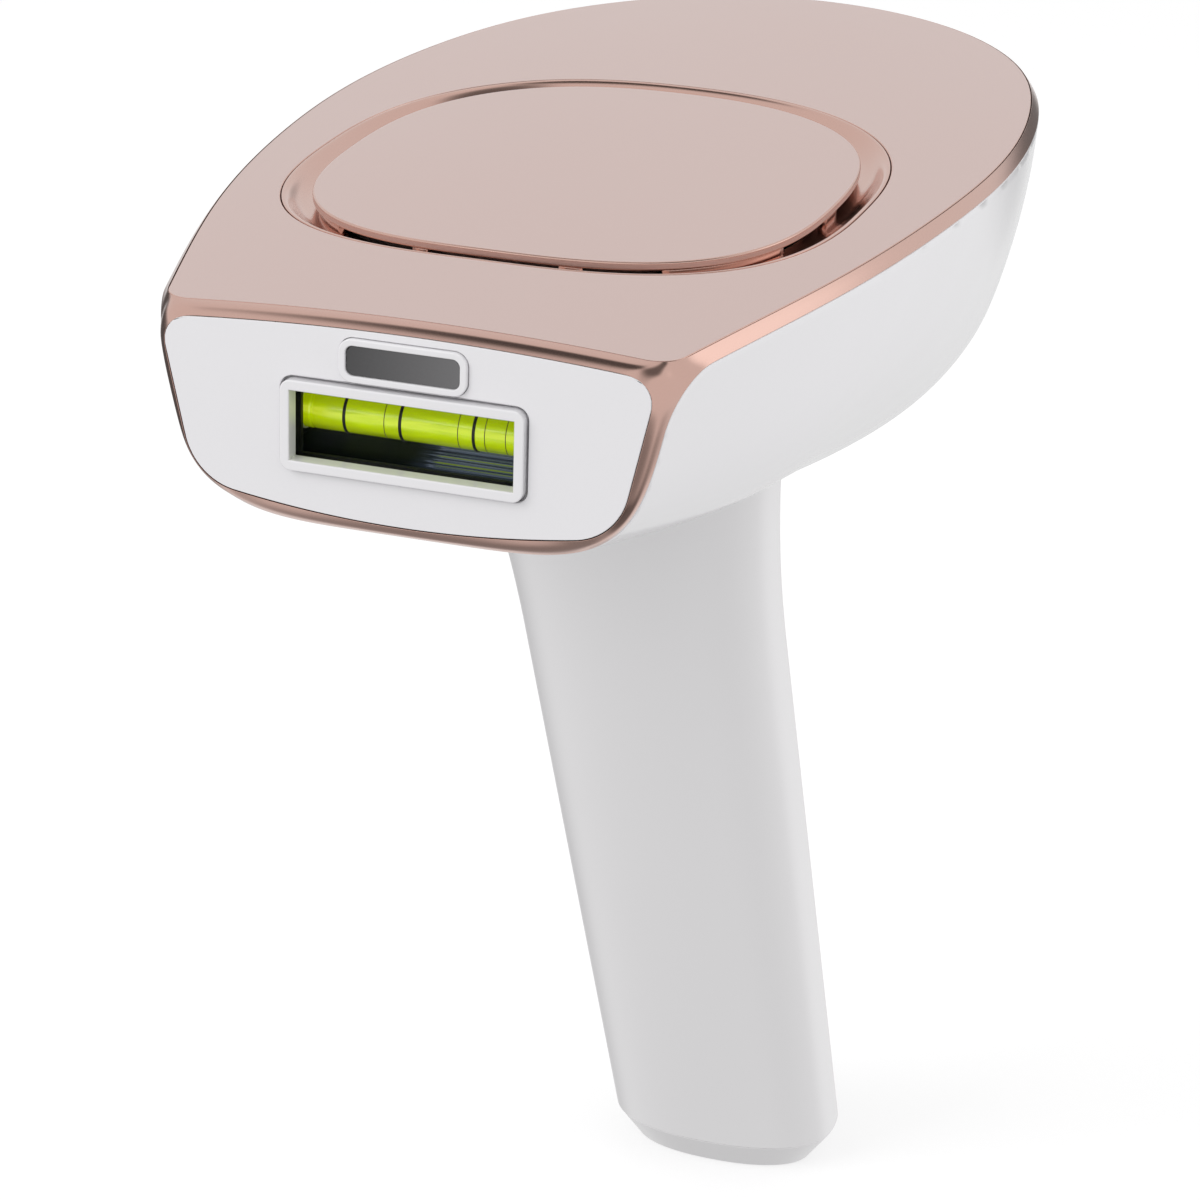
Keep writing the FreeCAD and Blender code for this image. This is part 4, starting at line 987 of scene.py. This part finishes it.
def swollen(a, b, height):
    """Middle row of a strip, pushed outwards, and the way out at each point."""
    middle = (a + b) / 2
    run = np.gradient(middle, axis=0)
    out = np.cross(run, b - a)
    out /= np.maximum(np.linalg.norm(out, axis=1), 1e-9)[:, None]
    away = middle - np.array([0.0, -70.0, 172.0])
    out *= np.sign(np.sum(out * away, axis=1))[:, None]
    return middle + out * height, out


def into_hull(p):
    """Direction into the head at a point of the trim's border with the hull."""
    middle = np.array([0.0, max(min(p[1] + 6.0, 10.0), -140.0), 180.0])
    return (middle - p) / np.linalg.norm(middle - p)


def trim_layer(work, lines, inner):
    """Outer or inner skin of the trim's right half; gives the three borders that the skins share."""
    top, band, leg, corner = lines

    def vert(p, way):
        moved = p + way * TRIM_WALL if inner else p
        return work.verts.new([float(c) * MM for c in moved])

    down = np.array([0.0, 0.0, -1.0])
    back = np.array([0.0, 1.0, 0.0])
    plate_end = vert(top[0][0], down)
    face_end = vert(top[1][0], back)
    hull_end = vert(band[1][0], into_hull(band[1][0]))
    out = CORNER_OUT / np.linalg.norm(CORNER_OUT)
    pole = vert(corner + out * CORNER_SWELL, -out)
    strips = []
    for (a, b), height, way_a, way_b, end_a, end_b in (
            (top, BEZEL_SWELL, down, back, plate_end, face_end),
            (band, BAND_SWELL, down, None, plate_end, hull_end),
            (leg, BEZEL_SWELL, back, None, face_end, hull_end)):
        middle, ways = swollen(a, b, height)
        row_a = [end_a] + [vert(p, way_a) for p in a[1:]]
        row_m = [vert(p, -way) for p, way in zip(middle, ways)]
        row_b = [end_b] + [vert(p, into_hull(p) if way_b is None else way_b) for p in b[1:]]
        strips.append((row_a, row_m, row_b))
    for row_a, row_m, row_b in strips:
        for one, two in ((row_a, row_m), (row_m, row_b)):
            for k in range(len(row_a) - 1):
                work.faces.new((one[k], one[k + 1], two[k + 1], two[k]))
    on_top, on_band, on_leg = strips
    work.faces.new((pole, on_top[1][0], plate_end, on_band[1][0]))
    work.faces.new((pole, on_band[1][0], hull_end, on_leg[1][0]))
    work.faces.new((pole, on_leg[1][0], face_end, on_top[1][0]))
    return [on_top[0][::-1] + on_band[0][1:],
            on_top[2][::-1] + on_leg[0][1:],
            on_band[2][::-1] + on_leg[2][1:]]


def make_trim():
    """Band round the plate and bezel round the face: one closed skin with a soft three-way corner."""
    work = bmesh.new()
    lines = trim_lines()
    layers = [trim_layer(work, lines, inner) for inner in (False, True)]
    for outer_loop, inner_loop in zip(*layers):
        for k in range(len(outer_loop) - 1):
            work.faces.new((outer_loop[k], outer_loop[k + 1], inner_loop[k + 1], inner_loop[k]))
    borders = {frozenset(pair) for loops in layers for loop in loops for pair in zip(loop, loop[1:])}
    creases = work.edges.layers.float.new("crease_edge")
    for edge in work.edges:
        if frozenset(edge.verts) in borders:
            edge[creases] = 1.0
    mirrored = bmesh.ops.duplicate(work, geom=list(work.verts) + list(work.edges) + list(work.faces))
    for item in mirrored["geom"]:
        if isinstance(item, bmesh.types.BMVert):
            item.co.x = -item.co.x
    bmesh.ops.remove_doubles(work, verts=work.verts, dist=2e-6)
    piece = finish_piece(work, "trim_frame_skin", "main_body", "rose_bright", ["trim_frame"])
    add_subdivision(piece, 3)
    add_bevel(piece, 0.07, segments=2, angle=50)


# ---------------------------------------------------------------- hull and face

def make_hull():
    """White hull, with a rounded corner where the trim's web covers it."""
    gap = HAIRLINE
    whole = HULL_TIP_Y - PLATE_FRONT_Y
    length = HULL_TIP_Y - HULL_TIP_GAP - PLATE_FRONT_Y
    backs = np.linspace(math.sqrt(whole - WEB_R), math.sqrt(whole - length), 90)[1:]
    stations = list(np.linspace(gap, WEB_R, 9)) + [whole - b * b for b in backs]
    columns = 56
    rows = []
    for behind in stations:
        line = hull_line(PLATE_FRONT_Y + behind)
        half = []
        for c in range(columns + 1):
            below = gap + (line.length - gap) * c / columns
            a, b = round_corner(behind - gap, below - gap, WEB_R - gap)
            a = max(a, 0.0) + gap
            b = b + gap
            half.append(hull_point(a, b) if (a, b) != (behind, below) else line.at(below / line.length))
        half = np.array(half)
        half[-1, 0] = 0.0
        rows.append(np.concatenate([half, half[-2::-1] * np.array([-1, 1, 1])]))
    piece = new_skin("head_shell_skin", rows, "main_body", "white_gloss", ["head_shell"],
                     centre=(0, -60, 185), closed=False)
    wall = add_thickness(piece, HULL_WALL)
    wall.thickness_clamp = 1.0
    add_bevel(piece, 0.22, segments=3, angle=50)
    cut_out(piece, plain_cutter(circle(LEVEL_HOLE_R, 48), -HULL_CUT, HULL_CUT, LEVEL_PLACE))
    for x in light_places():
        hole = circle(LIGHT_HOLE_R, 24, (x, LIGHT_UP))
        cut_out(piece, plain_cutter(hole, -HULL_CUT, HULL_CUT, LEVEL_PLACE))


def make_face():
    """White face with its two openings, the skin sensor and its raised rim."""
    half = Path(face_line(HAIRLINE)[0])
    half = half.at(np.linspace(0, 1, int(half.length / 0.7)))
    outline = [tuple(p) for p in half] + [(-x, z) for x, z in half[-2:0:-1]]
    window = rounded_rect(NOSE_W + 2 * NOSE_CLEARANCE, NOSE_H + 2 * NOSE_CLEARANCE, WINDOW_Z, 1.7)
    sensor = rounded_rect(SENSOR_RIM_W + SENSOR_GAP, SENSOR_RIM_H + SENSOR_GAP, SENSOR_Z, 1.9)
    prism("front_plate_skin", outline, [window, sensor], FACE_Y, FACE_Y + FACE_T, "main_body", "white_gloss",
          ["front_plate"], bevel=0.15)
    rim = rounded_rect(SENSOR_RIM_W, SENSOR_RIM_H, SENSOR_Z, 1.85)
    opening = rounded_rect(SENSOR_WINDOW_W + SENSOR_GAP, SENSOR_WINDOW_H + SENSOR_GAP, SENSOR_Z, 1.0)
    prism("sensor_rim", rim, [opening], front_of("sensor_bezel"), FACE_Y + 1.4, "main_body", "white_gloss",
          ["sensor_bezel"], bevel=0.22)
    glass = rounded_rect(SENSOR_WINDOW_W, SENSOR_WINDOW_H, SENSOR_Z, 0.95)
    prism("sensor_window", glass, [], front_of("sensor_lens"), FACE_Y + 1.3, "main_body", "dark_glass",
          ["sensor_lens"], bevel=0.1)


def make_contact_frame():
    """Raised frame round the light exit, with its tunnel, flange and ears."""
    front = front_of("contact_frame")
    back = back_of("contact_frame")
    belongs = ("contact_frame", "white_gloss", ["contact_frame"])
    flange = back - FLANGE_T
    nose = rounded_rect(NOSE_W, NOSE_H, WINDOW_Z, 1.5)
    tunnel = rounded_rect(WINDOW_W, WINDOW_H, WINDOW_Z, 0.05)
    prism("contact_frame_nose", nose, [tunnel], front, flange, *belongs, bevel=0.22)
    step = rounded_rect(FLANGE_HOLE_W, FLANGE_HOLE_H, WINDOW_Z, 0.05)
    prism("contact_frame_flange", eared_outline(), [step], flange, back, *belongs, bevel=0.08)


def eared_outline():
    """Outline of the flange with an ear on each side."""
    x, ear_x, z, ear_z = FLANGE_HALF_W, EAR_REACH, FLANGE_HALF_H, EAR_HALF_H
    right = [(x, z), (x, ear_z), (ear_x, ear_z), (ear_x, -ear_z), (x, -ear_z), (x, -z)]
    return [(side * u, WINDOW_Z + side * v) for side in (1, -1) for u, v in right]


# ---------------------------------------------------------------- grip

def grip_section(z, inset=0.0):
    """Closed section of the grip at height z."""
    half_w = GRIP_HALF_W + (GRIP_TOP_HALF_W - GRIP_HALF_W) * (z - CAP_Z) / GRIP_TAPER_H
    flare = FLARE_OUT * max(0.0, (z - FLARE_Z) / FLARE_H)**2
    half_w += flare - inset
    angle = np.arange(GRIP_COUNT) * 2 * math.pi / GRIP_COUNT
    half_d = np.where(np.sin(angle) > 0, GRIP_REAR_HALF_D, GRIP_FRONT_HALF_D)
    half_d = half_d + FLARE_SHARE_DEPTH * flare - inset
    x = half_w * np.sign(np.cos(angle)) * np.abs(np.cos(angle))**(2 / GRIP_EXPONENT)
    y = half_d * np.sign(np.sin(angle)) * np.abs(np.sin(angle))**(2 / GRIP_EXPONENT)
    return np.stack([x, y - GRIP_LEAN * (z - CAP_Z), np.full(GRIP_COUNT, z)], axis=1)


def make_grip():
    """White sleeve of the grip, up into the hull, with the pulse button's opening."""
    low = CAP_Z + 0.1
    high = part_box("grip_sleeve")[1][2] / MM
    rows = [grip_section(z) for z in np.linspace(low, high, 60)]
    piece = new_skin("grip_sleeve_skin", rows, "main_body", "white_satin", ["grip_sleeve"],
                     centre=(0, -30, 80))
    add_thickness(piece, GRIP_WALL)
    opening = stadium(PULSE_W + PULSE_OPENING, PULSE_L + PULSE_OPENING)
    cut_out(piece, plain_cutter(opening, -GRIP_CUT, GRIP_CUT, PULSE_PLACE))
    settle(piece, low, high)


def make_end_cap():
    """Cap with a sloped edge, the inlet's stepped hole, two screw recesses and a spigot."""
    low = grip_section(CAP_Z, CAP_INSET)
    low[:, 2] = 0.0
    work = bmesh.new()
    rims = [[work.verts.new(tuple(p * MM)) for p in ring] for ring in (low, grip_section(CAP_Z))]
    join_rings(work, rims)
    edges = [ring_edges(work, ring) for ring in rims]
    inlet = [(INLET_R, 0.0), (INLET_R, INLET_DEPTH), (JACK_HOLE_R, INLET_DEPTH), (JACK_HOLE_R, CAP_Z)]
    recess = [(SCREW_RECESS_R, 0.0), (SCREW_RECESS_R, SCREW_RECESS_DEPTH)]
    for centre, profile in (((0, INLET_Y), inlet), ((-CAP_SCREW_X, 0), recess), ((CAP_SCREW_X, 0), recess)):
        rings = []
        for r, z in profile:
            rings.append([work.verts.new((x * MM, y * MM, z * MM)) for x, y in circle(r, 48, centre)])
        join_rings(work, rings)
        edges[0] += ring_edges(work, rings[0])
        if profile[-1][1] == CAP_Z:
            edges[1] += ring_edges(work, rings[-1])
        else:
            work.faces.new(rings[-1])
    for chosen in edges:
        bmesh.ops.triangle_fill(work, edges=chosen, use_beauty=True)
    cap = finish_piece(work, "end_cap_skin", "main_body", "white_satin", ["end_cap"])
    add_bevel(cap, 0.25, segments=3, angle=30)
    heights = np.linspace(CAP_Z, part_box("end_cap")[1][2] / MM, 4)
    rows = [grip_section(z, GRIP_WALL + 0.1) for z in heights]
    spigot = new_skin("end_cap_spigot", rows, "main_body", "white_satin", ["end_cap"], centre=(0, 0, 8))
    add_thickness(spigot, SPIGOT_WALL)
    settle(spigot, CAP_Z, heights[-1])


def settle(piece, low, high):
    """Makes a piece's modifiers final and levels its ends between two heights."""
    graph = bpy.context.evaluated_depsgraph_get()
    mesh = bpy.data.meshes.new_from_object(piece.evaluated_get(graph))
    piece.modifiers.clear()
    piece.data = mesh
    for vert in mesh.vertices:
        vert.co.z = min(max(vert.co.z, low * MM), high * MM)


def join_rings(work, rings):
    """Walls between rings of vertices that have the same count."""
    for low, high in zip(rings, rings[1:]):
        for c in range(len(low)):
            d = (c + 1) % len(low)
            work.faces.new((low[c], low[d], high[d], high[c]))


def ring_edges(work, verts):
    """Edges round a closed ring of vertices, made where they are missing."""
    edges = []
    for a, b in zip(verts, verts[1:] + verts[:1]):
        edges.append(work.edges.get((a, b)) or work.edges.new((a, b)))
    return edges


# ---------------------------------------------------------------- controls

def circle(radius, count, centre=(0, 0)):
    """Outline of a circle."""
    angle = np.arange(count) * 2 * math.pi / count
    return [(centre[0] + radius * math.cos(a), centre[1] + radius * math.sin(a)) for a in angle]


def stadium(width, length, steps=16):
    """Outline of an oval with straight sides along V."""
    radius = width / 2
    points = []
    for k in range(2):
        for s in range(steps + 1):
            angle = math.pi * (k + s / steps)
            rise = (length / 2 - radius) * (1 if k == 0 else -1)
            points.append((radius * math.cos(angle), rise + radius * math.sin(angle)))
    return points


def dome(name, outline, profile, place, body, finish, nodes):
    """Button or lens: its outline drawn in by steps of (inset, height), closed in the middle."""
    work = bmesh.new()
    rings = []
    for inset, height in profile:
        ring = outline(inset)
        rings.append([work.verts.new(place @ Vector((u * MM, v * MM, height * MM))) for u, v in ring])
    join_rings(work, rings)
    work.faces.new(rings[0])
    work.faces.new(rings[-1])
    finish_piece(work, name, body, finish, nodes)


def light_places():
    """Where the indicator lights stand across the hull."""
    return [(step - (LIGHT_COUNT - 1) / 2) * LIGHT_PITCH for step in range(LIGHT_COUNT)]


def rounded_top(root, top, radius, steps=6):
    """Side profile of a button: upright wall, then a quarter-round edge."""
    profile = [(0.0, root), (0.0, top - radius)]
    for step in range(1, steps + 1):
        angle = math.pi / 2 * step / steps
        profile.append((radius * (1 - math.cos(angle)), top - radius + radius * math.sin(angle)))
    return profile


def make_controls():
    """Pulse button and its ring on the grip's rear, level button and lights under the head's rear."""
    dome("pulse_button_cap", lambda i: stadium(PULSE_W - 2 * i, PULSE_L - 2 * i),
         rounded_top(BUTTON_ROOT, PULSE_TOP, 0.6), PULSE_PLACE, "pulse_button", "white_satin",
         ["pulse_button"])
    ring = stadium(PULSE_W + PULSE_RING_OUT, PULSE_L + PULSE_RING_OUT)
    hole = stadium(PULSE_W + PULSE_RING_IN, PULSE_L + PULSE_RING_IN)
    prism("pulse_bezel_ring", ring, [hole], PULSE_RING_LOW, PULSE_RING_TOP, "main_body", "rose_bright",
          ["pulse_bezel"], bevel=0.3,
          place=PULSE_PLACE)
    dome("level_button_cap", lambda i: circle(LEVEL_R - i, 64), rounded_top(BUTTON_ROOT, LEVEL_TOP, 0.5),
         LEVEL_PLACE, "level_button", "rose_bright", ["level_button"])
    for number, x in enumerate(light_places()):
        dome(f"indicator_light_{number + 1}", lambda i: circle(LIGHT_R - i, 24, (x, LIGHT_UP)),
             rounded_top(LIGHT_ROOT, LIGHT_TOP, LIGHT_TOP), LEVEL_PLACE, "main_body", "light_guide",
             ["indicator_lights"])


# ---------------------------------------------------------------- lamp

def lathe_x(name, profile, count, finish, node):
    """Solid of revolution about the lamp's axis from a closed profile of (x, radius) points."""
    angle = np.arange(count) * 2 * math.pi / count
    rows = [np.stack([np.full(count, x), LAMP_Y + radius * np.cos(angle), LAMP_Z + radius * np.sin(angle)],
                     axis=1)
            for x, radius in profile]
    return new_skin(name, rows, "main_body", finish, [node])


def make_lamp():
    """Yellow-green glass sleeve with its dark bands and fine lines."""
    r = SLEEVE_R
    end = SLEEVE_HALF_L
    tube = [(-end, SLEEVE_BORE_R), (-end, r - SLEEVE_EDGE), (SLEEVE_EDGE - end, r), (1.0 - end, r),
            (1.2 - end, r - SLEEVE_GROOVE), (1.4 - end, r - SLEEVE_GROOVE), (1.6 - end, r),
            (end - SLEEVE_EDGE, r), (end, r - SLEEVE_EDGE), (end, SLEEVE_BORE_R), (-end, SLEEVE_BORE_R)]
    sleeve = lathe_x("filter_sleeve", tube, 64, "tinted_glass", "filter_tube")
    sleeve.data.set_sharp_from_angle(angle=math.radians(35))
    rings = [(x, BAND_HALF_W, BAND_RISE, "lamp_bands") for x in LAMP_BANDS_X]
    rings += [(x, LINE_HALF_W, LINE_RISE, "filter_tube") for x in FINE_LINES_X]
    for number, (x, half, rise, node) in enumerate(rings):
        shape = [(-1, -0.05), (-1, rise * 0.6), (-0.5, rise), (0.5, rise), (1, rise * 0.6), (1, -0.05),
                 (-1, -0.05)]
        ring = [(x + half * share, r + height) for share, height in shape]
        lathe_x(f"sleeve_band_{number + 1}", ring, 48, "black_plastic", node)


# ---------------------------------------------------------------- build

bpy.context.scene.view_settings.view_transform = "Standard"
make_camera()
make_world()
make_floor()
make_area_light("key", -38, 34, 1.5, 0.9, 7.0)
make_area_light("fill", 92, 8, 1.4, 0.8, 5.0)
make_materials()
dress_frame()
make_top_plate()
make_vent_panel()
make_vent_ring()
make_trim()
make_hull()
make_face()
make_contact_frame()
make_grip()
make_end_cap()
make_controls()
make_lamp()
